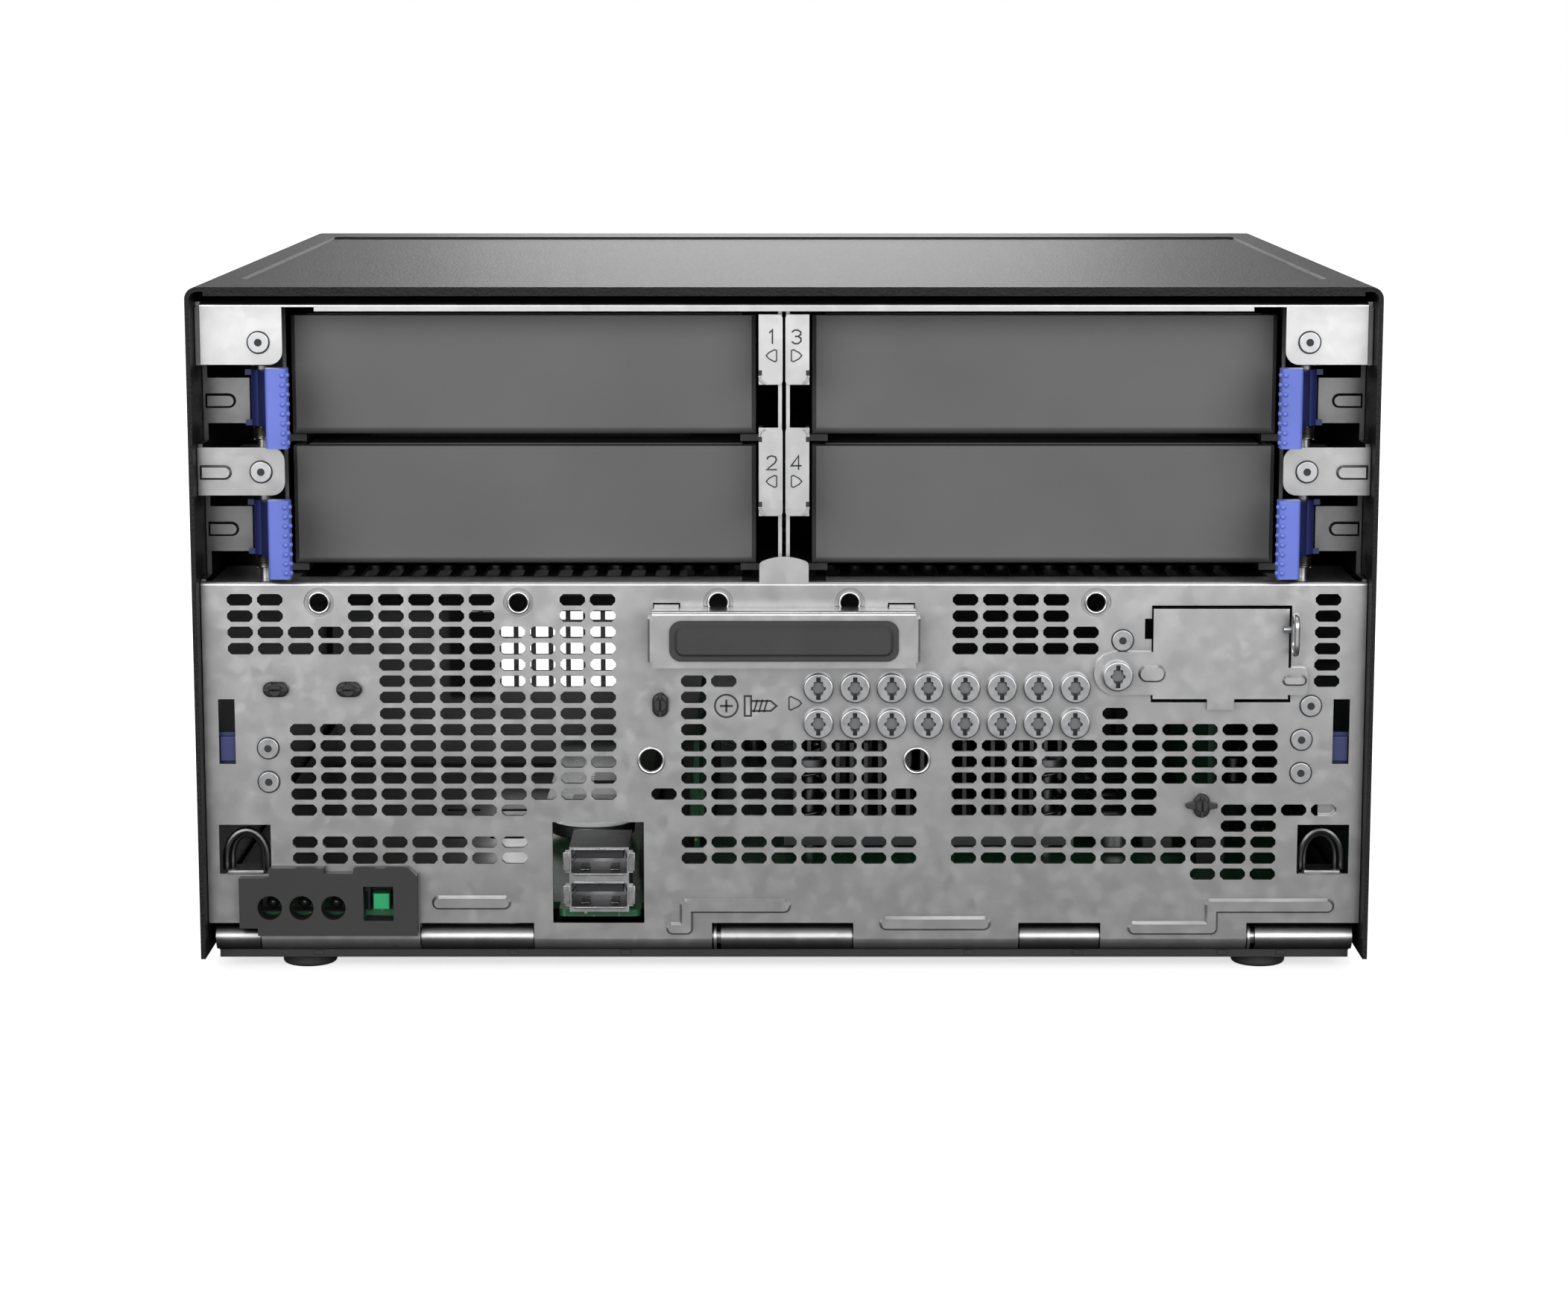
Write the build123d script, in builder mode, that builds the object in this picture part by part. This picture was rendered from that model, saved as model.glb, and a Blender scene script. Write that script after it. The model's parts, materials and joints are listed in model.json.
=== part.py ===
from build123d import *
import os
from math import cos, radians, sin

os.makedirs("parts", exist_ok=True)

# A compact four-bay network storage box with its front bezel off.  A textured
# cover slides over a galvanised drive frame, and the frame tips forward on a
# knuckle hinge over a base that carries the system board.
# Millimetres, +Z up, front towards -Y, origin on the floor under the middle.

# ---------------------------------------------------------------- driving sizes
width = 256.0             # outside of the cover
cover_height = 147.2      # cover's lower edge to its top
cover_depth = 222.0
sheet = 1.0               # steel of cover and frame
thin_sheet = 0.8          # steel of dividers, bay walls and brackets
base_sheet = 1.2
foot_height = 3.0
base_drop = 1.3           # base plate below the cover's lower edge
front_reach = 3.0         # grip pad ahead of the cover's front edge
rear_reach = 5.0          # thumbscrew heads behind the cover's rear flange

sill = foot_height + base_drop
front = -(cover_depth + rear_reach - front_reach) / 2

panel_depth = 5.0         # front panel's face behind the cover's front edge
panel_half = 126.8
panel_top = 83.0
panel_back = panel_depth + sheet
cage_top_height = 143.6
rear_depth = 219.6        # front face of the rear walls
rear_sheet = 1.2
split_height = 46.0       # rear wall: the base's below, the frame's above
split_gap = 0.6

drive_width, drive_height, drive_length = 101.6, 26.1, 147.0
drive_front = 18.0        # drive faces behind the cover's front edge
bay_x = 57.0              # middle of each column of drives
bay_low, bay_high = 98.2, 126.85

hinge_depth, hinge_height = 7.85, 3.4
knuckle_radius = 2.85
rod_radius = 1.8
hinge_clearance = 0.05
base_knuckles = [(-125.4, -115.6), (-80.0, -55.3), (-13.9, 15.0), (52.0, 69.5), (104.0, 125.4)]
panel_knuckles = [(-115.3, -80.3), (-55.1, -15.9), (15.3, 51.7), (69.8, 102.0)]
clip_x = [-15.2, 102.6]

vent_pitch_x, vent_pitch_z = 6.58, 3.59
vent_width, vent_height, vent_corner = 5.56, 2.55, 0.8
vent_first = 79.05        # height of the top row of vents
# columns (first, last) in each row of vents, counted from the middle column
vent_rows = [
    [(-18, -17), (-14, -10), (-7, -6), (6, 9), (18, 18)],
    [(-18, -17), (-14, -10), (-7, -6), (6, 9), (18, 18)],
    [(-18, -6), (6, 10), (18, 18)],
    [(-18, -6), (6, 10), (18, 18)],
    [(-13, -6), (18, 18)],
    [(-13, -6), (-3, -2), (18, 18)],
    [(-13, -6), (-3, -3)],
    [(-13, -6), (-3, -3), (11, 11)],
    [(-16, -6), (-3, -3), (11, 16)],
    [(-16, -6), (-3, 3), (6, 16)],
    [(-16, -6), (-3, 3), (6, 16)],
    [(-16, -6), (-3, 3), (6, 16)],
    [(-16, -6), (-4, 4), (6, 12)],
    [(-16, -9), (-3, 4), (6, 12), (15, 18)],
    [(15, 16)],
    [(-16, -9), (-3, 4), (6, 16)],
    [(-16, -9), (-3, 4), (6, 16)],
    [(14, 16)],
]

rivet_radius, rivet_hole = 2.3, 1.55
panel_rivets = [(-112.9, 46.2), (-112.9, 38.7), (115.1, 55.6), (113.2, 48.1), (113.2, 40.7), (73.8, 70.1)]
corner_rivets = [(-113.1, 135.0), (113.1, 135.0)]
mid_rivets = [(-113.1, 107.0), (113.1, 107.0)]
dimples = [(-101.2, 78.4), (-57.8, 78.4), (-14.3, 78.4), (14.3, 78.4), (67.9, 78.4)]
dimple_hole = 1.95
locators = [(-29.1, 43.5), (29.1, 43.5)]
locator_radius = 2.4
snap_clips_flat = [(-110.9, 59.4), (-94.9, 59.4)]
snap_clips_upright = [(-27.0, 56.0), (91.6, 33.6)]
snap_hole = 1.3

screw_columns, screw_pitch_x, screw_first_x = 8, 8.01, 7.5
screw_rows = [59.7, 51.8]
screw_head, screw_shank = 3.3, 1.55

pivot_x, pivot_depth = 113.5, 12.0     # drive latches
pin_radius = 1.2
latch_spans = {1: (112.7, 129.9), 2: (84.5, 101.5)}   # grip, upper and lower row
running_gap = 0.05                      # running clearance on pins and shafts

plate_screw = (72.7, 62.5)              # access plate's screw
plate_screw_hole = 1.6

fan_x, fan_height, fan_size, fan_thick = 20.0, 94.6, 92.0, 25.0
fan_depth = 194.4
fan_bore, fan_hub = 44.0, 19.0

board_low, board_top = 8.1, 9.7         # system board


def y(depth):
    """Position of a depth measured back from the cover's front edge."""
    return front + depth


def z(height):
    """Position of a height measured up from the cover's lower edge."""
    return sill + height


# --------------------------------------------------- shapes used by many pieces
def block(x0, x1, d0, d1, h0, h1, mode=Mode.ADD):
    """A box between two widths, two depths and two heights."""
    with Locations(((x0 + x1) / 2, y((d0 + d1) / 2), z((h0 + h1) / 2))):
        Box(abs(x1 - x0), d1 - d0, h1 - h0, mode=mode)


def peg(places, radius, d0, d1, mode=Mode.ADD):
    """Cylinders that run front to back, one at each (x, height)."""
    with Locations(*[(x, y((d0 + d1) / 2), z(h)) for x, h in places]):
        Cylinder(radius, d1 - d0, rotation=(90, 0, 0), mode=mode)


def post(places, radius, h0, h1, mode=Mode.ADD):
    """Upright cylinders, one at each (x, depth)."""
    with Locations(*[(x, y(d), z((h0 + h1) / 2)) for x, d in places]):
        Cylinder(radius, h1 - h0, mode=mode)


def hinge_bar(x0, x1, radius, mode=Mode.ADD):
    """A cylinder on the hinge line."""
    with Locations(((x0 + x1) / 2, y(hinge_depth), z(hinge_height))):
        Cylinder(radius, x1 - x0, rotation=(0, 90, 0), mode=mode)


def facing(depth):
    """A sketch plane at a depth, seen from the front: x across, y the height."""
    return Plane.XZ.offset(-y(depth))


def box_outline(x0, x1, h0, h1, mode=Mode.ADD):
    with Locations(((x0 + x1) / 2, z((h0 + h1) / 2))):
        Rectangle(abs(x1 - x0), h1 - h0, mode=mode)


def capsule(x0, x1, h0, h1, mode=Mode.ADD):
    """A long outline with round ends."""
    long_side, short_side = max(abs(x1 - x0), h1 - h0), min(abs(x1 - x0), h1 - h0)
    turn = 0 if abs(x1 - x0) > h1 - h0 else 90
    with Locations(((x0 + x1) / 2, z((h0 + h1) / 2))):
        SlotOverall(long_side, short_side, rotation=turn, mode=mode)


def vent_outline():
    """A vent slot: a rectangle with its corners cut off."""
    a, b, c = vent_width / 2, vent_height / 2, vent_corner
    Polygon(
        (-a + c, -b), (a - c, -b), (a, -b + c), (a, b - c),
        (a - c, b), (-a + c, b), (-a, b - c), (-a, -b + c),
        mode=Mode.ADD,
    )


def recess_outline():
    """A six-lobed driver recess crossed by a screwdriver slot."""
    Circle(1.3)
    with PolarLocations(1.25, 6):
        Circle(0.42)
    Rectangle(0.95, 5.0)


def keep(piece, name):
    """Name a finished piece and write it."""
    piece.part.label = name
    export_step(piece.part, f"parts/{name}.step")


# ================================================================ fixed base
with BuildPart() as base_pan:
    block(-124.9, 124.9, 7.5, rear_depth + rear_sheet, -base_drop, -base_drop + base_sheet)
    block(-124.9, 124.9, 7.5, 13.0, -0.2, 0.45)
    for side in (-1, 1):
        block(side * 123.9, side * 124.9, 14.0, rear_depth, -0.2, 12.0)
    curl_back = hinge_depth + knuckle_radius
    for x0, x1 in base_knuckles:
        hinge_bar(x0, x1, knuckle_radius)
        block(x0, x1, curl_back - sheet, curl_back, -0.2, hinge_height)
    hinge_bar(-width / 2, width / 2, rod_radius + hinge_clearance, mode=Mode.SUBTRACT)
    # stand-offs under the system board
    for x, d in [(-52, 40), (-52, 196), (30, 24), (112, 40), (112, 196)]:
        post([(x, d)], 3.0, -0.2, board_low)
    # air slots in the floor
    with BuildSketch(Plane.XY.offset(z(-base_drop))):
        with Locations((0, y(110))):
            with GridLocations(14, 34, 13, 4):
                SlotOverall(9, 3)
    extrude(amount=base_sheet, mode=Mode.SUBTRACT)
keep(base_pan, "base_pan")

# openings of the rear wall: (x0, x1, low, high)
lan_openings = [(12.0, 28.5, 9.6, 23.6), (34.0, 50.5, 9.6, 23.6)]
usb_rear_opening = (58.0, 72.0, 9.6, 17.0)
video_opening = (-22.0, 9.0, 9.6, 20.4)
inlet_x, inlet_height = 96.0, 19.0

with BuildPart() as rear_io_wall:
    block(-124.6, 124.6, rear_depth, rear_depth + rear_sheet, -0.1, split_height - split_gap)
    for opening in lan_openings + [usb_rear_opening, video_opening]:
        x0, x1, h0, h1 = opening
        block(x0, x1, rear_depth - 1, rear_depth + 3, h0, h1, mode=Mode.SUBTRACT)
    peg([(inlet_x, inlet_height)], 5.6, rear_depth - 1, rear_depth + 3, mode=Mode.SUBTRACT)
    with BuildSketch(facing(rear_depth)):
        with Locations((-62.0, z(33.4))):
            with GridLocations(4.8, 4.8, 11, 5):
                Rectangle(3.5, 3.5)
        with Locations((62.0, z(36.5))):
            with GridLocations(4.8, 4.8, 18, 3):
                Rectangle(3.5, 3.5)
    extrude(amount=-rear_sheet, mode=Mode.SUBTRACT)
    # foot of the wall, screwed to the base plate
    block(-123.8, 123.8, rear_depth - 10, rear_depth, -0.1, 0.9)
keep(rear_io_wall, "rear_io_wall")

with BuildPart() as hinge_rod:
    hinge_bar(-125.3, 125.3, rod_radius)
    chamfer(hinge_rod.edges().filter_by(GeomType.CIRCLE), 0.3)
    # retaining clips snapped on between the knuckles
    for x in clip_x:
        hinge_bar(x - 0.3, x + 0.3, knuckle_radius)
keep(hinge_rod, "hinge_rod")

with BuildPart() as feet:
    with BuildSketch(Plane.XY):
        with Locations((0, y(cover_depth / 2))):
            with GridLocations(212, 190, 2, 2):
                Circle(6.0)
    extrude(amount=foot_height)
    fillet(feet.edges().group_by(Axis.Z)[0], 0.8)
keep(feet, "feet")

with BuildPart() as system_board:
    block(-60, 122, 14, 205, board_low, board_top)
    # tongue that carries the front ports
    block(-49.7, -31.6, 6.6, 15, board_low, board_top)
    fillet(system_board.edges().filter_by(Axis.Z).sort_by(Axis.Y)[:2], 1.5)
    post([(6, 66), (62, 66), (6, 114), (62, 114)], 1.5, board_low, board_top, mode=Mode.SUBTRACT)
keep(system_board, "system_board")

sink_corners = [(6, 66), (62, 66), (6, 114), (62, 114)]
sink_low, sink_base_top, sink_top = 12.5, 16.5, 37.0
with BuildPart() as heat_sink:
    block(0, 68, 60, 120, sink_low, sink_base_top)
    with BuildSketch(Plane.XY.offset(z(sink_base_top))):
        with Locations((34, y(90))):
            with GridLocations(3.3, 60, 20, 1):
                Rectangle(0.9, 60)
    extrude(amount=sink_top - sink_base_top)
    for x, d in sink_corners:
        block(x - 6, x + 6, d - 6, d + 6, sink_base_top, sink_top + 1, mode=Mode.SUBTRACT)
    post(sink_corners, 1.6, sink_low, sink_base_top, mode=Mode.SUBTRACT)
    # slug that stands on the processor
    block(22, 46, 78, 102, board_top + 1.4, sink_low)
keep(heat_sink, "heat_sink")

with BuildPart() as processor:
    block(19, 49, 75, 105, board_top, board_top + 1.4)
keep(processor, "processor")

spring_top = 30.0
with BuildPart() as sink_screws:
    post(sink_corners, 1.4, board_low - 1.0, spring_top)
    post(sink_corners, 4.2, spring_top, spring_top + 2.4)
    with BuildSketch(Plane.XY.offset(z(spring_top + 2.4))):
        with Locations(*[(x, y(d)) for x, d in sink_corners]):
            Rectangle(5.6, 0.9)
            Rectangle(0.9, 5.6)
    extrude(amount=-1.3, mode=Mode.SUBTRACT)
keep(sink_screws, "sink_screws")

wire = 0.45
with BuildPart() as sink_springs:
    for x, d in sink_corners:
        with BuildLine():
            coil = Helix(
                pitch=(spring_top - sink_base_top - 2 * wire - 0.1) / 4,
                height=spring_top - sink_base_top - 2 * wire - 0.1,
                radius=3.0,
                center=(x, y(d), z(sink_base_top + wire + 0.05)),
            )
        with BuildSketch(Plane(origin=coil @ 0, z_dir=coil % 0)):
            Circle(wire)
        sweep(path=coil)
keep(sink_springs, "sink_springs")

memory_x = -20.0
with BuildPart() as memory_module:
    block(memory_x - 0.6, memory_x + 0.6, 41, 174, board_top + 1.5, board_top + 31)
    for row in range(8):
        low_end = 46.5 + 16 * row
        for side in (-1, 1):
            block(memory_x + side * 0.6, memory_x + side * 1.7, low_end, low_end + 9, 17.5, 29.5)
keep(memory_module, "memory_module")

riser_x = 99.0
with BuildPart() as board_sockets:
    for x, d0, d1 in [(memory_x, 38, 177), (memory_x - 10, 38, 177), (riser_x, 50, 140)]:
        block(x - 3.2, x + 3.2, d0, d1, board_top, board_top + 6.5)
    for x, d0, d1 in [(memory_x, 41, 174), (memory_x - 10, 41, 174), (riser_x, 53, 137)]:
        block(x - 0.65, x + 0.65, d0, d1, board_top + 1.5, board_top + 8, mode=Mode.SUBTRACT)
keep(board_sockets, "board_sockets")

with BuildPart() as riser_board:
    block(riser_x - 0.6, riser_x + 0.6, 53, 137, board_top + 1.5, 50.0)
    for d in (66, 92, 118):
        block(riser_x + 0.6, riser_x + 2.2, d - 7, d + 7, 28, 42)
keep(riser_board, "riser_board")

port_back = rear_depth + rear_sheet
with BuildPart() as rear_ports:
    for x0, x1, h0, h1 in lan_openings:
        block(x0 + 0.2, x1 - 0.2, 198, port_back, board_top, h1 - 0.2)
        block(x0 + 2.4, x1 - 2.4, port_back - 12, port_back + 1, h0 + 2.0, h1 - 4.0, mode=Mode.SUBTRACT)
    x0, x1, h0, h1 = usb_rear_opening
    block(x0 + 0.2, x1 - 0.2, 202, port_back, board_top, h1 - 0.2)
    block(x0 + 0.8, x1 - 0.8, port_back - 10, port_back + 1, h0 + 1.0, h1 - 0.9, mode=Mode.SUBTRACT)
    block(x0 + 1.4, x1 - 1.4, port_back - 10.5, port_back - 1, h0 + 3.9, h1 - 1.6)
    x0, x1, h0, h1 = video_opening
    block(x0 + 0.2, x1 - 0.2, 200, port_back, board_top, h1 - 0.2)
    with BuildSketch(facing(port_back)):
        with Locations(((x0 + x1) / 2, z((h0 + h1) / 2 + 0.3))):
            Trapezoid(17.5, 8.2, 80, rotation=180)
    extrude(amount=5, mode=Mode.SUBTRACT)
keep(rear_ports, "rear_ports")

with BuildPart() as power_inlet:
    peg([(inlet_x, inlet_height)], 5.4, 206, port_back)
    block(inlet_x - 5.4, inlet_x + 5.4, 204, 217, board_top, inlet_height)
    peg([(inlet_x, inlet_height)], 2.9, port_back - 9, port_back + 1, mode=Mode.SUBTRACT)
    peg([(inlet_x, inlet_height)], 1.0, port_back - 10, port_back - 1)
keep(power_inlet, "power_inlet")

# double front port: a folded steel shell on the board's tongue
port_x0, port_x1 = -47.2, -34.1
port_levels = [(10.9, 16.1), (18.4, 23.6)]
with BuildPart() as usb_front_stack:
    block(port_x0, port_x1, 4.2, 22.5, board_top, 24.2)
    for low_edge, high_edge in port_levels:
        block(port_x0 + 0.4, port_x1 - 0.4, 4.0, 16.0, low_edge, high_edge, mode=Mode.SUBTRACT)
    # contact tongues, and the spring ears folded back at each side
    for low_edge, high_edge in port_levels:
        block(port_x0 + 1.3, port_x1 - 1.3, 6.4, 16.2, high_edge - 2.2, high_edge - 0.5)
        for side, edge in ((-1, port_x0), (1, port_x1)):
            block(edge, edge + side * 0.9, 4.2, 4.6, low_edge + 0.1, high_edge)
keep(usb_front_stack, "usb_front_stack")

# ============================================================== drive frame
spare_screw_places = [
    (screw_first_x + screw_pitch_x * column, height)
    for column in range(screw_columns)
    for height in screw_rows
]

# The pressed sheet is in two pieces: its folded edges, then its flat face.
face_low = 7.0            # the flat face ends here, above the knuckles
with BuildPart() as panel_folds:
    for x0, x1 in panel_knuckles:
        block(x0, x1, panel_depth, panel_back, hinge_height, face_low)
        hinge_bar(x0, x1, knuckle_radius)
    hinge_bar(-width / 2, width / 2, rod_radius + hinge_clearance, mode=Mode.SUBTRACT)
    for side in (-1, 1):
        # top edge, folded back deeper over the corners
        block(side * 9.2, side * 106.3, panel_back, 13.0, panel_top - sheet, panel_top)
        block(side * 106.2, side * 124.5, panel_back, 30.0, panel_top - sheet, panel_top)
        # lips folded back under the bezel hooks' openings
        block(side * 114.1, side * 122.7, panel_back, 15.0, 17.1, 18.1)
keep(panel_folds, "panel_folds")

with BuildPart() as front_panel:
    block(-panel_half, panel_half, panel_depth, panel_back, face_low, panel_top)
    top_edge = front_panel.edges().filter_by(Axis.X).group_by(Axis.Z)[-1].group_by(Axis.Y)[0]
    fillet(top_edge, 0.8)
    # middle tab with round shoulders
    with BuildSketch(facing(panel_depth)):
        with BuildLine():
            Polyline((-5.35, z(82.5)), (5.35, z(82.5)), (5.35, z(87.2)))
            ThreePointArc((5.35, z(87.2)), (0, z(88.5)), (-5.35, z(87.2)))
            Line((-5.35, z(87.2)), (-5.35, z(82.5)))
        make_face()
    extrude(amount=-sheet)
    fillet(front_panel.edges().filter_by(Axis.Y).group_by(Axis.Z)[-1], 1.2)
    # pressed rings round the dimples
    peg(dimples, 3.3, panel_depth - 1, panel_depth + 0.5, mode=Mode.SUBTRACT)
    peg(dimples, 2.5, panel_depth, panel_back)
    # stiffening ribs pressed out of the panel
    with BuildSketch(facing(panel_depth)):
        capsule(-77.6, -60.1, 10.0, 13.2)
        capsule(21.0, 45.6, 5.3, 8.5)
        capsule(-23.0, 1.6, 9.2, 12.5)
        capsule(-23.0, -20.0, 4.3, 12.5)
        capsule(-26.0, -20.0, 4.3, 7.2)
        capsule(92.7, 121.3, 9.2, 12.5)
        capsule(92.7, 95.7, 4.3, 12.5)
        capsule(75.7, 95.7, 4.3, 7.4)
    extrude(amount=0.8, taper=35)
    # everything punched through the panel
    with BuildSketch(facing(panel_depth)):
        with Locations(*[
            (column * vent_pitch_x, z(vent_first - row * vent_pitch_z))
            for row, spans in enumerate(vent_rows)
            for first, last in spans
            for column in range(first, last + 1)
        ]):
            vent_outline()
        for side in (-1, 1):
            box_outline(side * 120.05, side * 123.65, 42.7, 57.1)       # slider slots
            box_outline(side * 112.8, side * 124.15, 18.1, 29.1)        # bezel hooks
            box_outline(side * 22.6, side * 28.5, 77.4, 78.4)           # grip bracket's tabs
        box_outline(-50.9, -30.8, 5.9, 29.7)                            # front ports
        box_outline(80.1, 110.6, 56.4, 77.8)                            # access opening
        box_outline(78.6, 80.2, 70.4, 74.9)
        box_outline(110.5, 111.9, 72.2, 75.0)
        box_outline(-117.2, -83.2, 7.6, 16.4)                           # lamps and button
        for places, radius in (
            (panel_rivets, rivet_hole),
            (locators, locator_radius),
            (snap_clips_flat + snap_clips_upright, snap_hole),
            (dimples, dimple_hole),
            ([plate_screw], plate_screw_hole),
            (spare_screw_places, screw_shank),
        ):
            with Locations(*[(x, z(height)) for x, height in places]):
                Circle(radius)
    extrude(amount=-sheet, mode=Mode.SUBTRACT)
keep(front_panel, "front_panel")

# Sheet steel round the drives.  The side walls end further back beside the
# latches, so that a latch has room to swing out.
window_spans = [(112.9, 130.0), (83.4, 101.7)]
tab_spans = [(116.6, 126.5), (88.4, 98.3)]
tab_depth = 15.0
side_low = 0.8

for side, name in ((-1, "cage_left_side"), (1, "cage_right_side")):
    with BuildPart() as cage_side:
        inner, outer = side * (panel_half - sheet), side * panel_half
        block(inner, outer, panel_back, rear_depth, side_low, cage_top_height - sheet)
        block(side * 120, side * 130, 0, 13.0, side_low - 1, 7.5, mode=Mode.SUBTRACT)
        for low_edge, high_edge in window_spans:
            block(side * 120, side * 130, 0, tab_depth, low_edge, high_edge, mode=Mode.SUBTRACT)
        for low_edge, high_edge in tab_spans:
            block(side * 116.6, side * panel_half, tab_depth, tab_depth + sheet, low_edge, high_edge)
        # middle bracket, flush with the front panel
        block(side * 108.0, side * panel_half, panel_depth, panel_back, 101.9, 112.3)
        inner_corners = cage_side.edges().filter_by(Axis.Y).group_by(Axis.X)[0 if side > 0 else -1]
        fillet(inner_corners, 2.9)
        peg(mid_rivets, rivet_hole, panel_depth - 1, panel_back + 1, mode=Mode.SUBTRACT)
        # lanced tab that holds the release slider
        block(side * 118.5, side * (panel_half - 0.5), 9.1, 10.1, 34.5, 40.0)
        # beads that run off the outer edge
        bead_end = side * (panel_half - 0.5)
        with BuildSketch(facing(panel_depth)):
            capsule(side * 119.4, side * (panel_half + 4), 105.3, 108.5)
            box_outline(bead_end, side * 135, 100, 110, mode=Mode.SUBTRACT)
        extrude(amount=0.7, taper=35)
        with BuildSketch(facing(tab_depth)):
            for middle in (121.5, 93.3):
                capsule(side * 119.6, side * (panel_half + 4), middle - 1.6, middle + 1.6)
                box_outline(bead_end, side * 135, middle - 4, middle + 4, mode=Mode.SUBTRACT)
        extrude(amount=0.7, taper=35)
    keep(cage_side, name)

with BuildPart() as cage_top:
    block(-panel_half, panel_half, panel_depth, rear_depth, cage_top_height - sheet, cage_top_height)
    block(-101.0, 101.0, panel_depth, panel_back, 141.7, cage_top_height)
    for side in (-1, 1):
        block(side * 108.0, side * 125.6, panel_depth, panel_back, 130.2, cage_top_height)
        block(side * 125.6, side * 128, panel_depth - 1, panel_depth + 2, 140, 145, mode=Mode.SUBTRACT)
    bracket_corners = cage_top.edges().filter_by(Axis.Y).group_by(Axis.Z)[0].filter_by(
        lambda edge: abs(edge.center().X) < 110
    )
    fillet(bracket_corners, 2.9)
    front_fold = cage_top.edges().filter_by(Axis.X).group_by(Axis.Z)[-1].group_by(Axis.Y)[0]
    fillet(front_fold, 0.8)
    peg(corner_rivets, rivet_hole, panel_depth - 1, panel_back + 1, mode=Mode.SUBTRACT)
    # lightening slots in the top
    with BuildSketch(Plane.XY.offset(z(cage_top_height))):
        with Locations((0, y(110))):
            with GridLocations(26, 60, 9, 3):
                SlotOverall(16, 5)
    extrude(amount=-sheet, mode=Mode.SUBTRACT)
keep(cage_top, "cage_top")

shelf_top = 82.0
with BuildPart() as cage_shelf:
    block(-125.6, 125.6, panel_back + 0.1, 172.0, shelf_top - sheet, shelf_top)
    with BuildSketch(Plane.XY.offset(z(shelf_top))):
        with Locations((0, y(84))):
            with GridLocations(5.42, 22, 37, 6):
                SlotOverall(17, 3.3, rotation=90)
    extrude(amount=-sheet, mode=Mode.SUBTRACT)
keep(cage_shelf, "cage_shelf")

# two divider sheets back to back, each folded out into numbered tabs
divider_low = shelf_top
divider_gap = 0.45
upper_tab, lower_tab = (125.9, 141.0), (97.4, 116.6)
for side, name in ((-1, "divider_left"), (1, "divider_right")):
    with BuildPart() as divider:
        inner, outer = side * divider_gap, side * (divider_gap + thin_sheet)
        block(inner, outer, panel_depth + thin_sheet, 166.0, divider_low, cage_top_height - sheet)
        block(side * 0.1, side * 3, 0, panel_back + 0.4, divider_low - 1, 89.0, mode=Mode.SUBTRACT)
        block(inner, outer, panel_depth + thin_sheet, panel_back + 2, 141.0, 144, mode=Mode.SUBTRACT)
        with BuildSketch(facing(panel_depth)) as tabs:
            for low_edge, high_edge in (upper_tab, lower_tab):
                box_outline(side * 0.3, side * 5.45, low_edge, high_edge)
            fillet(tabs.vertices().sort_by(Axis.X, reverse=side > 0)[-4:], 0.9)
        extrude(amount=-thin_sheet)
        for low_edge, high_edge in (upper_tab, lower_tab):
            lip_front, lip_back = panel_depth + thin_sheet, panel_depth + 4.5
            block(side * 4.65, side * 5.45, lip_front, lip_back, low_edge + 3.2, high_edge)
        # air and screw slots along the sheet
        for height in (bay_low, bay_high):
            block(-3, 3, 30, 70, height - 5, height + 5, mode=Mode.SUBTRACT)
            block(-3, 3, 95, 135, height - 5, height + 5, mode=Mode.SUBTRACT)
    keep(divider, name)

# outer walls of the two drive columns
wall_inner, wall_outer = 109.0, 109.8
for side, name in ((-1, "bay_wall_left"), (1, "bay_wall_right")):
    with BuildPart() as bay_wall:
        block(side * wall_inner, side * wall_outer, 19.0, 172.0, shelf_top, cage_top_height - sheet)
        block(side * 105, side * 115, 18.0, 31.0, shelf_top - 1, panel_top + 0.1, mode=Mode.SUBTRACT)
        for height in (bay_low, bay_high):
            block(side * 105, side * 115, 40, 80, height - 5, height + 5, mode=Mode.SUBTRACT)
            block(side * 105, side * 115, 100, 140, height - 5, height + 5, mode=Mode.SUBTRACT)
        block(side * wall_outer, side * (wall_outer + 6), 31.0, 172.0, shelf_top, shelf_top + thin_sheet)
    keep(bay_wall, name)

# rails under the long edges of each drive
with BuildPart() as drive_rails:
    for middle in (-bay_x, bay_x):
        out = 1 if middle > 0 else -1
        for height in (bay_low, bay_high):
            rail_top = height - drive_height / 2 - 0.15
            block(out * 105.0, out * (wall_inner - 0.05), 20.0, 164.0, rail_top - 1.5, rail_top)
            block(out * (divider_gap + thin_sheet + 0.05), out * 9.6, 20.0, 164.0, rail_top - 1.5, rail_top)
keep(drive_rails, "drive_rails")

with BuildPart() as frame_rear_wall:
    wall_low, wall_high = split_height + split_gap, cage_top_height - 0.2
    block(-125.7, 125.7, rear_depth, rear_depth + rear_sheet, wall_low, wall_high)
    peg([(-110, 136.5), (110, 136.5)], 1.75, rear_depth - 1, rear_depth + 3, mode=Mode.SUBTRACT)
    with BuildSketch(facing(rear_depth)):
        with Locations((fan_x, z(fan_height))):
            for ring in range(5):
                with PolarLocations(9 + 7.6 * ring, 8 + 6 * ring):
                    Circle(2.7)
            with GridLocations(fan_size - 10, fan_size - 10, 2, 2):
                Circle(2.0)
        with Locations((-75, z(112))):
            with GridLocations(4.8, 4.8, 12, 7):
                Rectangle(3.5, 3.5)
    extrude(amount=-rear_sheet, mode=Mode.SUBTRACT)
keep(frame_rear_wall, "frame_rear_wall")

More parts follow.
